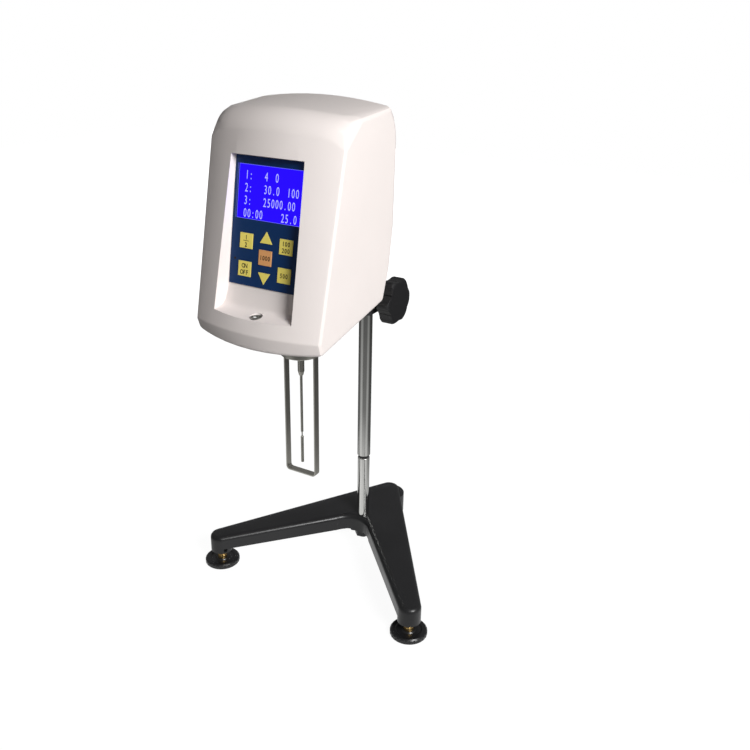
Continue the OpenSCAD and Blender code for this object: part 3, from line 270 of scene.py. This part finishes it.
def moulded(name, colour, roughness, grain, scale=1500.0):
    """Moulded plastic or paint: a fine even grain and a slow drift of colour and gloss."""
    finish = Finish(name, colour, roughness)
    drift = finish.noise(14.0, 3.0)
    finish.set("Base Color", finish.blend(drift, shade(colour, 0.965), shade(colour, 1.03)))
    fine = finish.noise(scale, 2.0)
    finish.set("Roughness", roughness - 0.05 + 0.06 * drift + 0.05 * fine)
    finish.relief(fine, grain)
    return finish


def turned(name, colour, roughness, direction="Z"):
    """Machined metal with fine tool marks round it and a little tarnish."""
    finish = Finish(name, colour, roughness, 1.0)
    tarnish = finish.noise(90.0, 4.0)
    finish.set("Base Color", finish.blend(tarnish, shade(colour, 0.82), shade(colour, 1.1)))
    marks = finish.lines(TOOL_MARKS, direction, 1.5)
    finish.set("Roughness", roughness - 0.04 + 0.1 * tarnish + 0.05 * marks)
    finish.relief(marks, TOOL_MARK_DEPTH)
    return finish


def polished(name, colour, roughness, stretch=(1.0, 1.0, 0.05)):
    """Chromed or satin metal with faint hairlines along it."""
    finish = Finish(name, colour, roughness, 1.0)
    hair = finish.noise(2200.0, 2.0, stretch)
    smear = finish.noise(30.0, 3.0)
    finish.set("Base Color", finish.blend(smear, shade(colour, 0.93), shade(colour, 1.04)))
    finish.set("Roughness", roughness * 0.7 + roughness * 0.5 * smear + 0.06 * hair)
    finish.relief(hair, HAIRLINE_DEPTH)
    return finish


def enamel(name, colour, roughness):
    """Stoved enamel on a casting: gentle orange peel and a few duller patches."""
    finish = Finish(name, colour, roughness, Specular_IOR_Level=0.4)
    peel = finish.noise(520.0, 2.0)
    patch = finish.noise(22.0, 4.0)
    dust = finish.node("TexVoronoi", inputs={"Vector": finish.here, "Scale": 700.0}, out="Distance")
    finish.set("Base Color", finish.blend(patch, shade(colour, 0.75), shade(colour, 1.5)))
    finish.set("Roughness", roughness - 0.06 + 0.14 * patch + 0.05 * dust)
    finish.relief(peel + 0.35 * patch, 0.00012, 0.7)
    return finish


def printed(name, colour, roughness=0.38):
    """Printed film with a fine satin grain."""
    finish = Finish(name, colour, roughness, Specular_IOR_Level=PRINT_GLOSS)
    weave = finish.noise(2600.0, 1.0)
    cloud = finish.noise(40.0, 2.0)
    finish.set("Base Color", finish.blend(cloud, shade(colour, 0.92), shade(colour, 1.08)))
    finish.set("Roughness", roughness - 0.03 + 0.06 * weave)
    finish.relief(weave, PRINT_GRAIN)
    return finish


def lit(name, colour, strength, roughness=0.12):
    """A lit display behind clear plastic: even light with a very faint mottle."""
    finish = Finish(name, shade(colour, 0.1), roughness, Emission_Strength=strength,
                    Specular_IOR_Level=PRINT_GLOSS)
    mottle = finish.noise(60.0, 2.0)
    finish.set("Emission Color", finish.blend(mottle, shade(colour, 0.94), shade(colour, 1.0)))
    finish.set("Roughness", roughness + 0.04 * mottle)
    return finish


def circuit_board(name, colour):
    """Solder mask over copper tracks."""
    finish = Finish(name, colour, 0.3)
    tracks = finish.node("TexBrick", inputs={"Vector": finish.here, "Scale": 160.0, "Mortar Size": 0.06},
                         out="Fac")
    finish.set("Base Color", finish.blend(tracks, colour, shade(colour, 1.8)))
    finish.relief(tracks, 0.00003)
    return finish


def clear(name, colour, alpha):
    """Clear plastic or liquid, a little uneven."""
    finish = Finish(name, colour, 0.06, Alpha=alpha, IOR=1.45)
    wave = finish.noise(120.0, 1.0)
    finish.set("Roughness", 0.04 + 0.05 * wave)
    return finish


# ---------------------------------------------------------------- modelling helpers
def deselect():
    if bpy.context.mode != "OBJECT":
        bpy.ops.object.mode_set(mode="OBJECT")
    bpy.ops.object.select_all(action="DESELECT")


def only(piece):
    deselect()
    piece.hide_viewport = False
    bpy.context.view_layer.objects.active = piece
    piece.select_set(True)
    return piece


def context_piece(name):
    """The piece that was just added, under its own name."""
    bpy.context.object.name = name
    return bpy.context.object


def apply_modifier(piece, kind, **settings):
    only(piece)
    bpy.ops.object.modifier_add(type=kind)
    modifier = piece.modifiers[-1]
    for name, value in settings.items():
        setattr(modifier, name, value)
    bpy.ops.object.modifier_apply(modifier=modifier.name)


def settle(piece):
    """Puts a piece's place into its mesh."""
    only(piece)
    bpy.ops.object.transform_apply(location=True, rotation=True, scale=True)


def smooth(piece, angle=30.0, weighted=True):
    only(piece)
    bpy.ops.object.shade_smooth_by_angle(angle=math.radians(angle))
    if weighted:
        apply_modifier(piece, "WEIGHTED_NORMAL", keep_sharp=True, weight=NORMAL_WEIGHT)


def coat(piece, finish):
    piece.data.materials.clear()
    piece.data.materials.append(finish.material)


def dress(finish, *names):
    """Gives CAD nodes a finish."""
    for name in names:
        coat(NODES[name], finish)


def join_to(piece, body, slot, *stands_for):
    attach(piece, body)
    if stands_for:
        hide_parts(*stands_for)
    return piece


def refined(node, finish, edge=0.0, segments=2, angle=30.0):
    """A merged and smoothed copy of a CAD node, with its sharp edges eased, in the node's place."""
    source = NODES[node]
    piece = bpy.data.objects.new(node + "_finished", source.data.copy())
    bpy.context.scene.collection.objects.link(piece)
    only(piece)
    bpy.ops.object.mode_set(mode="EDIT")
    bpy.ops.mesh.select_all(action="SELECT")
    bpy.ops.mesh.remove_doubles(threshold=MERGE_GAP)
    bpy.ops.mesh.dissolve_degenerate(threshold=SHORT_EDGE)
    bpy.ops.mesh.dissolve_limited(angle_limit=FLAT_ANGLE)
    bpy.ops.object.mode_set(mode="OBJECT")
    if edge:
        apply_modifier(piece, "BEVEL", width=edge, segments=segments, limit_method="ANGLE",
                       angle_limit=BEVEL_ANGLE, use_clamp_overlap=True, miter_outer="MITER_ARC")
    smooth(piece, angle)
    coat(piece, finish)
    return join_to(piece, BODY_OF[node], SLOT_OF[node], node)


def on_panel(x, z, proud=0.0):
    """A point in the panel's own plane, in metres."""
    panel = bpy.context.scene.viscometer_panel
    tilt = Matrix.Rotation(-panel.lean, 4, "X")
    return Vector(panel.middle) + tilt @ Vector((x, -proud, z))


def lay_on_panel(piece, finish, x, z, proud):
    """Turns a flat piece to the panel's lean and puts its middle at x, z."""
    piece.rotation_euler = (math.pi / 2 - bpy.context.scene.viscometer_panel.lean, 0.0, 0.0)
    piece.location = on_panel(x, z, proud)
    settle(piece)
    coat(piece, finish)
    return piece


def figures(name, text, x, z, height, pitch, squeeze, finish, proud, weight=0.0):
    """A row of evenly pitched plain figures on the panel, the middle of the first one's foot at x, z."""
    signs = []
    for k, sign in enumerate(text):
        if sign == " ":
            continue
        deselect()
        bpy.ops.object.text_add()
        curve = bpy.context.object.data
        curve.body, curve.size, curve.align_x, curve.resolution_u = sign, height, "CENTER", 3
        curve.offset = weight
        only(bpy.context.object)
        bpy.ops.object.convert(target="MESH")
        piece = bpy.context.object
        piece.scale.x = squeeze
        signs.append(lay_on_panel(piece, finish, x + k * pitch, z, proud))
    only(signs[0])
    for sign in signs:
        sign.select_set(True)
    if len(signs) > 1:
        bpy.ops.object.join()
    signs[0].name = name
    return signs[0]


def printed_line(name, x, z, width, height, line, finish, proud):
    """A printed rectangle on the panel, open inside where line is given."""
    deselect()
    bpy.ops.mesh.primitive_plane_add(size=1.0)
    piece = context_piece(name)
    piece.scale = (width, height, 1.0)
    settle(piece)
    if line:
        bpy.ops.object.mode_set(mode="EDIT")
        bpy.ops.mesh.select_all(action="SELECT")
        bpy.ops.mesh.inset(thickness=line)
        bpy.ops.mesh.delete(type="FACE")
        bpy.ops.object.mode_set(mode="OBJECT")
    return lay_on_panel(piece, finish, x, z, proud)


# ---------------------------------------------------------------- pieces
class VISCOMETER_OT_stage(bpy.types.Operator):
    """Floor, lamps and camera"""

    bl_idname = "viscometer.stage"
    bl_label = "Studio"

    def execute(self, context):
        studio = context.scene.viscometer_studio
        deselect()
        bpy.ops.mesh.primitive_plane_add(size=studio.floor, location=(0.0, 0.0, -FLOOR_DROP))
        floor = context.object
        floor.name = "studio_floor"
        settle(floor)
        finish = Finish("pale_floor", tuple(studio.floor_colour), 0.9)
        tree = finish.tree
        ray = tree.nodes.new("ShaderNodeLightPath")
        direct, through, mirror = (Varying(finish, ray.outputs[f"Is {kind} Ray"])
                                   for kind in ("Camera", "Transmission", "Glossy"))
        seen = direct + through
        glow = finish.node("Emission", inputs={"Color": (1.0, 1.0, 1.0, 1.0), "Strength": studio.floor_glow})
        dark = finish.node("Emission", inputs={"Color": (0.0, 0.0, 0.0, 1.0), "Strength": 0.0})
        # Painted reflection: to mirror rays the floor glows bright near the object and in bright and dark
        # bands round it further off, so that the chrome and steel show dark and bright stripes.
        reach = finish.node("VectorMath", {"operation": "LENGTH"}, {0: finish.here}, out="Value")
        place = finish.node("SeparateXYZ", inputs={0: finish.here}, out="X")
        across = Varying(finish, place.socket.node.outputs["Y"])
        heading = finish.node("Math", {"operation": "ARCTAN2"}, {0: place, 1: 0.0 - across}) / math.tau + 0.5
        bands = finish.ramp(heading, (0.31, 0.16), (0.37, 0.6), (0.45, 0.6), (0.5, 0.24), (0.67, 0.24),
                            (0.71, 0.55), (0.76, 0.55), (0.83, 0.12))
        near = finish.ramp(reach, (0.12, 0.6), (0.34, 0.0))
        far = finish.ramp(reach, (0.3, 0.85), (0.9, 0.4))
        painted_reflection = finish.node("MixShader", inputs={0: near + (1.0 - near) * bands * far, 1: dark, 2: glow})
        open_floor = finish.ramp(reach / 3.0, (0.28, 0.0), (0.5, 1.0))
        white = open_floor * (1.0 - studio.floor_white) + studio.floor_white
        plain = finish.node("MixShader", inputs={0: seen * white,
                                                 1: Varying(finish, finish.shader.outputs[0]), 2: glow})
        mix = finish.node("MixShader", inputs={0: mirror, 1: plain, 2: painted_reflection})
        tree.links.new(mix.socket, tree.nodes["Material Output"].inputs["Surface"])
        coat(floor, finish)
        self.world(context, studio)
        aim = Vector(LAMP_AIM)
        for name, turn, rise, power in (
                ("key_lamp", studio.key_heading, studio.key_height, studio.key_power),
                ("back_lamp", studio.back_heading, studio.back_height, studio.back_power)):
            away = Vector((math.sin(turn) * math.cos(rise), -math.cos(turn) * math.cos(rise), math.sin(rise)))
            self.lamp(name, aim + away * studio.lamp_reach, aim, studio.lamp_size, power)
        lamp = bpy.data.objects["back_lamp"]
        lamp.visible_camera = lamp.visible_glossy = False
        self.camera(context, studio)
        return {"FINISHED"}

    def world(self, context, studio):
        """White to the camera, a low even light on the object, and a dim room for metal to mirror."""
        world = bpy.data.worlds.new("studio")
        context.scene.world = world
        world.use_nodes = True
        nodes, links = world.node_tree.nodes, world.node_tree.links
        nodes.clear()

        def background(strength):
            shader = nodes.new("ShaderNodeBackground")
            shader.inputs["Color"].default_value = (1.0, 1.0, 1.0, 1.0)
            shader.inputs["Strength"].default_value = strength
            return shader.outputs[0]

        def mixed(share, first, second):
            shader = nodes.new("ShaderNodeMixShader")
            for socket, link in zip(shader.inputs, (share, first, second)):
                links.new(link, socket)
            return shader.outputs[0]

        ray = nodes.new("ShaderNodeLightPath")
        either = nodes.new("ShaderNodeMath")
        either.operation = "MAXIMUM"
        links.new(ray.outputs["Is Camera Ray"], either.inputs[0])
        links.new(ray.outputs["Is Transmission Ray"], either.inputs[1])
        around = mixed(ray.outputs["Is Glossy Ray"], background(studio.ambient), background(studio.dim))
        out = nodes.new("ShaderNodeOutputWorld")
        links.new(mixed(either.outputs[0], around, background(1.0)), out.inputs["Surface"])

    def lamp(self, name, place, target, size, power):
        deselect()
        bpy.ops.object.light_add(type="AREA", location=place)
        lamp = bpy.context.object
        lamp.name = name
        lamp.data.shape = "DISK"
        lamp.data.size = size
        lamp.data.energy = power
        lamp.rotation_mode = "QUATERNION"
        lamp.rotation_quaternion = (Vector(place) - Vector(target)).to_track_quat("Z", "Y")

    def camera(self, context, studio):
        deselect()
        bpy.ops.object.camera_add()
        camera = context.object
        camera.name = "viewing_camera"
        turn, pitch, roll = studio.azimuth, studio.pitch, studio.roll
        ahead = Vector((-math.sin(turn) * math.cos(pitch), math.cos(turn) * math.cos(pitch),
                        -math.sin(pitch)))
        right = Vector((math.cos(turn), math.sin(turn), 0.0))
        up = right.cross(ahead)
        side = math.cos(roll) * right + math.sin(roll) * up
        top = -math.sin(roll) * right + math.cos(roll) * up
        matrix = Matrix((side, top, -ahead)).transposed().to_4x4()
        matrix.translation = Vector(studio.place)
        camera.matrix_world = matrix
        camera.data.sensor_width = 36.0
        camera.data.lens = studio.lens
        camera.data.clip_start = 0.01
        context.scene.camera = camera
        context.scene.view_settings.view_transform = "Standard"


class VISCOMETER_OT_housing(bpy.types.Operator):
    """Moulded housing, back cover and their screws"""

    bl_idname = "viscometer.housing"
    bl_label = "Housing"

    def execute(self, context):
        sizes = context.scene.viscometer_housing
        paint = moulded("housing_paint", tuple(sizes.shell), sizes.roughness, sizes.grain)
        refined("main_shell", paint, sizes.edge, angle=32.0)
        refined("back_cover", paint, sizes.edge, angle=32.0)
        dress(turned("zinc_screws", (0.5, 0.5, 0.52), 0.35), "head_screws")
        return {"FINISHED"}


class VISCOMETER_OT_panel(bpy.types.Operator):
    """Printed film, lit display, figures and keys"""

    bl_idname = "viscometer.panel"
    bl_label = "Panel"

    def execute(self, context):
        sizes = context.scene.viscometer_panel
        film = printed("panel_film", tuple(sizes.film), 0.42)
        dress(film, "panel_overlay")
        dress(lit("display_light", tuple(sizes.lit), 1.0), "lcd_window")
        dress(moulded("display_case", (0.03, 0.03, 0.4), 0.5, 0.00002), "lcd_module")
        yellow = printed("key_film", tuple(sizes.key), 0.5)
        for key in ("key_up", "key_down", "key_mode", "key_timer", "key_run", "key_print"):
            refined(key, yellow, 0.0003)
        refined("key_enter", printed("middle_key_film", tuple(sizes.middle_key), 0.5), 0.0003)
        self.display(sizes, film)
        self.marks(sizes)
        return {"FINISHED"}

    def display(self, sizes, film):
        """Pale line round the display, the dark margin on its left and four rows of figures."""
        pale = lit("line_light", tuple(sizes.line), 1.0, 0.3)
        margin = printed_line("display_margin", -35.2 * MM, DISPLAY_Z, 2.6 * MM, 49 * MM, 0.0, film,
                              0.01 * MM)
        join_to(margin, "head", SLOT_OF["panel_overlay"])
        for name, x, width, line in (("display_line", 1.15, 70.4, 0.35), ("margin_line", -35.4, 0.25, 0.0)):
            piece = printed_line(name, x * MM, DISPLAY_Z, width * MM, 48.9 * MM, line * MM, pale, 0.02 * MM)
            join_to(piece, "head", SLOT_OF["lcd_window"])
        glow = lit("figure_light", tuple(sizes.glyph), 1.0, 0.3)
        left, middle = -24.8, -3.4
        rows = ((38.2, ("1:", left), ("4", middle), ("0", 8.4)),
                (26.8, ("2:", left), ("30.0", middle), ("100", 22.2)),
                (15.4, ("3:", left), ("25000.00", middle)),
                (4.0, ("00:00", left), ("25.0", 17.2)))
        for k, (z, *words) in enumerate(rows):
            for i, (text, x) in enumerate(words):
                piece = figures(f"figures_{k}_{i}", text, x * MM, z * MM, sizes.figure_h, sizes.figure_pitch,
                                sizes.figure_squeeze, glow, 0.03 * MM)
                join_to(piece, "head", SLOT_OF["lcd_window"])

    def marks(self, sizes):
        """Dark figures on the keys, and the small dark dot beside them."""
        ink = printed("key_ink", tuple(sizes.ink), 0.5)
        field, pitch_x, pitch_z, proud = (1.2, -30.4), 22.3, 13.0, 0.52
        for key, column, row, *lines in (
                ("key_mode", -1, 1, ("1", 1.2), ("2", -5.6)),
                ("key_timer", 1, 1, ("100", 0.9), ("200", -5.2)),
                ("key_enter", 0, 0, ("1000", -2.1)),
                ("key_run", -1, -1, ("ON", 0.9), ("OFF", -5.2)), ("key_print", 1, -1, ("500", -2.1))):
            x, z = field[0] + column * pitch_x, field[1] + row * pitch_z
            for k, (text, down) in enumerate(lines):
                start = x - 1.5 * (len(text) - 1)
                piece = figures(f"{key}_mark_{k}", text, start * MM, (z + down) * MM, 5.8 * MM, 3 * MM, 0.85,
                                ink, proud * MM, 0.14 * MM)
                join_to(piece, BODY_OF[key], SLOT_OF[key])
        bar = printed_line("key_mode_bar", (field[0] - pitch_x) * MM, (field[1] + pitch_z) * MM, 6.5 * MM,
                           0.45 * MM, 0.0, ink, proud * MM)
        join_to(bar, BODY_OF["key_mode"], SLOT_OF["key_mode"])
        deselect()
        bpy.ops.mesh.primitive_circle_add(vertices=20, radius=1.2 * MM, fill_type="NGON")
        dot = context_piece("panel_dot")
        join_to(lay_on_panel(dot, ink, -33 * MM, -35 * MM, 0.02 * MM), "head", SLOT_OF["panel_overlay"])


class VISCOMETER_OT_level(bpy.types.Operator):
    """Bubble level in the sill of the panel's recess"""

    bl_idname = "viscometer.level"
    bl_label = "Level"

    def execute(self, context):
        dress(turned("level_rim", (0.3, 0.3, 0.29), 0.3), "level_housing")
        dress(clear("level_liquid", (0.035, 0.045, 0.03), 0.92), "level_glass")
        low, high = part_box("level_glass")
        middle = (Vector(low) + Vector(high)) / 2
        deselect()
        bpy.ops.mesh.primitive_uv_sphere_add(segments=28, ring_count=14, radius=1.7 * MM)
        bubble = context_piece("level_bubble")
        bubble.scale.z = 0.22
        bubble.location = (middle.x - 1.3 * MM, middle.y - 0.6 * MM, high[2])
        settle(bubble)
        smooth(bubble, weighted=False)
        # The bubble is a pale, nearly opaque dome: a painted glint, standing in for the light that a real air
        # bubble catches.
        coat(bubble, clear("bubble_painted_glint", (0.85, 0.87, 0.85), 0.95))
        join_to(bubble, "head", SLOT_OF["level_glass"])
        deselect()
        bpy.ops.mesh.primitive_torus_add(major_radius=2.5 * MM, minor_radius=0.14 * MM, major_segments=40,
                                         minor_segments=8, location=(middle.x, middle.y, high[2]))
        ring = context_piece("level_ring")
        settle(ring)
        smooth(ring, weighted=False)
        coat(ring, printed("level_ink", (0.01, 0.01, 0.01)))
        join_to(ring, "head", SLOT_OF["level_glass"])
        return {"FINISHED"}


class VISCOMETER_OT_stand(bpy.types.Operator):
    """Forked casting and its three levelling feet"""

    bl_idname = "viscometer.stand"
    bl_label = "Stand"

    def execute(self, context):
        sizes = context.scene.viscometer_stand
        casting = refined("base_casting", enamel("casting_enamel", tuple(sizes.casting), 0.3))
        self.fill_crotch(casting, sizes)
        self.shorten_pads(casting, sizes)
        smooth(casting, 25.0)
        brass = turned("foot_brass", tuple(sizes.brass), 0.3)
        black = moulded("foot_plastic", tuple(sizes.plastic), 0.3, 0.00002)
        for side in ("left", "right", "rear"):
            refined("stud_" + side, brass)
            refined("disc_" + side, black, 0.0003)
        dress(turned("black_nut", (0.05, 0.05, 0.052), 0.4), "post_nut")
        return {"FINISHED"}

    def fill_crotch(self, casting, sizes):
        """Runs the casting's front face round between the legs in one sweep, across the post's boss."""
        post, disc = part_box("lower_post"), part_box("disc_right")
        centre_y = (post[0][1] + post[1][1]) / 2
        foot_x, foot_y = (disc[0][0] + disc[1][0]) / 2, (disc[0][1] + disc[1][1]) / 2
        along = math.atan2(centre_y - foot_y, foot_x)
        tip = sizes.tip_radius
        heading = math.atan2(centre_y - foot_y + tip * math.cos(along), foot_x - tip * math.sin(along))
        radius, low, edge = sizes.crotch, sizes.web_low, sizes.web_edge
        offset = radius / math.cos(heading)
        half, deep = radius * math.sin(heading), offset - radius * math.cos(heading)
        apex, below, above = 0.01, 0.004, 0.006

        deselect()
        bpy.ops.mesh.primitive_circle_add(vertices=3, radius=radius, fill_type="NGON")
        web = context_piece("web")
        for vertex, (x, y) in zip(web.data.vertices, ((0.0, apex), (-half, -deep), (half, -deep))):
            vertex.co = (x, centre_y + y, low)
        bpy.ops.object.mode_set(mode="EDIT")
        bpy.ops.mesh.select_all(action="SELECT")
        bpy.ops.mesh.extrude_region_move(TRANSFORM_OT_translate={"value": (0.0, 0.0, sizes.web_top - low)})
        bpy.ops.mesh.select_all(action="SELECT")
        bpy.ops.mesh.normals_make_consistent(inside=False)
        bpy.ops.object.mode_set(mode="OBJECT")
        for vertex in web.data.vertices:
            if vertex.co.z > low + 0.001:
                vertex.co.z += sizes.web_slope * (vertex.co.y - centre_y + deep)

        deselect()
        bpy.ops.mesh.primitive_circle_add(vertices=128, radius=radius, fill_type="NGON",
                                          location=(0.0, centre_y - offset, low - below))
        sweep = context_piece("sweep")
        settle(sweep)
        bpy.ops.object.mode_set(mode="EDIT")
        bpy.ops.mesh.select_all(action="SELECT")
        wide = radius
        steps = [(sizes.web_top - edge - low + below, radius)]
        for a in range(15, 91, 15):
            climb = math.sin(math.radians(a)) - math.sin(math.radians(a - 15))
            steps.append((edge * climb, radius + edge * (1 - math.cos(math.radians(a)))))
        steps.append((above, radius + edge))
        for up, reach in steps:
            bpy.ops.mesh.extrude_region_move(TRANSFORM_OT_translate={"value": (0.0, 0.0, up)})
            bpy.ops.transform.resize(value=(reach / wide, reach / wide, 1.0))
            wide = reach
        bpy.ops.mesh.select_all(action="SELECT")
        bpy.ops.mesh.normals_make_consistent(inside=False)
        bpy.ops.object.mode_set(mode="OBJECT")
        for tool, operation in ((web, "UNION"), (sweep, "DIFFERENCE")):
            apply_modifier(casting, "BOOLEAN", operation=operation, object=tool, solver="EXACT")
            only(tool)
            bpy.ops.object.delete()

    def shorten_pads(self, casting, sizes):
        """Cuts the pads off above their CAD end, so that the foot screws show under them."""
        low = min(vertex.co.z for vertex in casting.data.vertices)
        only(casting)
        bpy.ops.object.mode_set(mode="EDIT")
        bpy.ops.mesh.select_all(action="SELECT")
        bpy.ops.mesh.bisect(plane_co=(0.0, 0.0, low + sizes.pad_gap), plane_no=(0.0, 0.0, 1.0),
                            use_fill=True, clear_inner=True)
        bpy.ops.mesh.select_all(action="SELECT")
        bpy.ops.mesh.normals_make_consistent(inside=False)
        bpy.ops.object.mode_set(mode="OBJECT")


class VISCOMETER_OT_column(bpy.types.Operator):
    """Post, rack column, washer and cap"""

    bl_idname = "viscometer.column"
    bl_label = "Column"

    def execute(self, context):
        sizes = context.scene.viscometer_stand
        chrome = polished("column_chrome", tuple(sizes.chrome), 0.1)
        black = moulded("cap_plastic", tuple(sizes.plastic), 0.4, 0.00002)
        refined("lower_post", chrome, 0.0002)
        refined("rack_column", chrome, 0.0001)
        refined("joint_washer", black)
        refined("column_cap", black)
        return {"FINISHED"}


class VISCOMETER_OT_lift(bpy.types.Operator):
    """Carriage, pinion, knobs and rod"""

    bl_idname = "viscometer.lift"
    bl_label = "Lift"

    def execute(self, context):
        sizes = context.scene.viscometer_stand
        refined("clamp_block", enamel("block_enamel", (0.02, 0.02, 0.022), 0.42), 0.0006)
        refined("carriage_bushes", turned("bush_bronze", (0.5, 0.33, 0.14), 0.35))
        knob = moulded("knob_plastic", tuple(sizes.plastic), 0.45, 0.00004, 900.0)
        refined("lift_knob", knob, 0.0008, 3)
        refined("rod_lock_knob", knob, 0.0005)
        steel = turned("shaft_steel", (0.55, 0.55, 0.57), 0.25, direction="X")
        refined("tension_screw", steel, 0.0002)
        refined("pinion_shaft", steel, 0.0001)
        refined("head_rod", polished("rod_chrome", tuple(sizes.chrome), 0.12, (1.0, 0.05, 1.0)))
        return {"FINISHED"}


class VISCOMETER_OT_measuring(bpy.types.Operator):
    """Boss, guard, shaft, coupling and spindle"""

    bl_idname = "viscometer.measuring"
    bl_label = "Measuring parts"

    def execute(self, context):
        colour = tuple(context.scene.viscometer_measuring.stainless)
        satin = polished("guard_stainless", colour, 0.3)
        refined("spindle_guard", satin, 0.0002)
        bright = turned("spindle_stainless", colour, 0.22)
        for node in ("lower_boss", "pivot_shaft", "spindle_coupling", "spindle_rotor"):
            refined(node, bright, 0.0001)
        return {"FINISHED"}


class VISCOMETER_OT_mechanism(bpy.types.Operator):
    """Chassis, motor, gears, sensors and boards inside the head"""

    bl_idname = "viscometer.mechanism"
    bl_label = "Mechanism"

    def execute(self, context):
        dress(turned("milled_aluminium", (0.6, 0.6, 0.62), 0.4, direction="X"),
              "rod_bracket", "chassis_plate", "upper_plate")
        dress(turned("pillar_steel", (0.5, 0.5, 0.52), 0.3), "mechanism_pillars")
        dress(turned("gear_brass", (0.66, 0.45, 0.17), 0.3), "drive_gear", "motor_pinion", "board_standoffs")
        dress(turned("bush_metal", (0.5, 0.33, 0.14), 0.35), "drive_bush")
        dress(turned("spring_strip", (0.55, 0.4, 0.16), 0.3), "hairspring")
        dress(moulded("sensor_plastic", (0.012, 0.012, 0.013), 0.4, 0.00002),
              "drive_encoder", "spindle_encoder", "position_sensors")
        dress(enamel("motor_enamel", (0.02, 0.02, 0.022), 0.4), "stepper_motor")
        dress(circuit_board("board_mask", (0.01, 0.11, 0.04)), "main_board", "keypad_board")
        return {"FINISHED"}


class VISCOMETER_OT_sockets(bpy.types.Operator):
    """Power switch and sockets in the back"""

    bl_idname = "viscometer.sockets"
    bl_label = "Sockets"

    def execute(self, context):
        black = moulded("socket_plastic", (0.012, 0.012, 0.013), 0.35, 0.00002)
        for node in ("power_switch", "dc_inlet"):
            refined(node, black, 0.0003)
        refined("power_rocker", moulded("rocker_plastic", (0.45, 0.02, 0.018), 0.3, 0.00001), 0.0004)
        nickel = turned("socket_nickel", (0.55, 0.55, 0.56), 0.25, direction="Y")
        refined("probe_socket", nickel, 0.0003)
        refined("serial_port", nickel, 0.0002)
        return {"FINISHED"}


OPERATORS = (VISCOMETER_OT_stage, VISCOMETER_OT_housing, VISCOMETER_OT_panel, VISCOMETER_OT_level,
             VISCOMETER_OT_stand, VISCOMETER_OT_column, VISCOMETER_OT_lift, VISCOMETER_OT_measuring,
             VISCOMETER_OT_mechanism, VISCOMETER_OT_sockets)
GROUPS = {"viscometer_housing": HousingSizes, "viscometer_panel": PanelSizes,
          "viscometer_stand": StandSizes, "viscometer_measuring": MeasuringSizes,
          "viscometer_studio": StudioSizes}


class VISCOMETER_PT_pieces(bpy.types.Panel):
    """Lists the viscometer's pieces and their sizes"""

    bl_label = "Viscometer"
    bl_space_type = "VIEW_3D"
    bl_region_type = "UI"
    bl_category = "Viscometer"

    def draw(self, context):
        for name, group in GROUPS.items():
            box = self.layout.box()
            for prop in group.__annotations__:
                box.prop(getattr(context.scene, name), prop)
        for operator in OPERATORS:
            self.layout.operator(operator.bl_idname)


def register():
    for cls in (*GROUPS.values(), *OPERATORS, VISCOMETER_PT_pieces):
        bpy.utils.register_class(cls)
    for name, group in GROUPS.items():
        setattr(bpy.types.Scene, name, PointerProperty(type=group))


def unregister():
    for name in GROUPS:
        delattr(bpy.types.Scene, name)
    for cls in reversed((*GROUPS.values(), *OPERATORS, VISCOMETER_PT_pieces)):
        bpy.utils.unregister_class(cls)


def main():
    register()
    for operator in OPERATORS:
        group, name = operator.bl_idname.split(".")
        getattr(getattr(bpy.ops, group), name)()


if __name__ == "__main__":
    main()
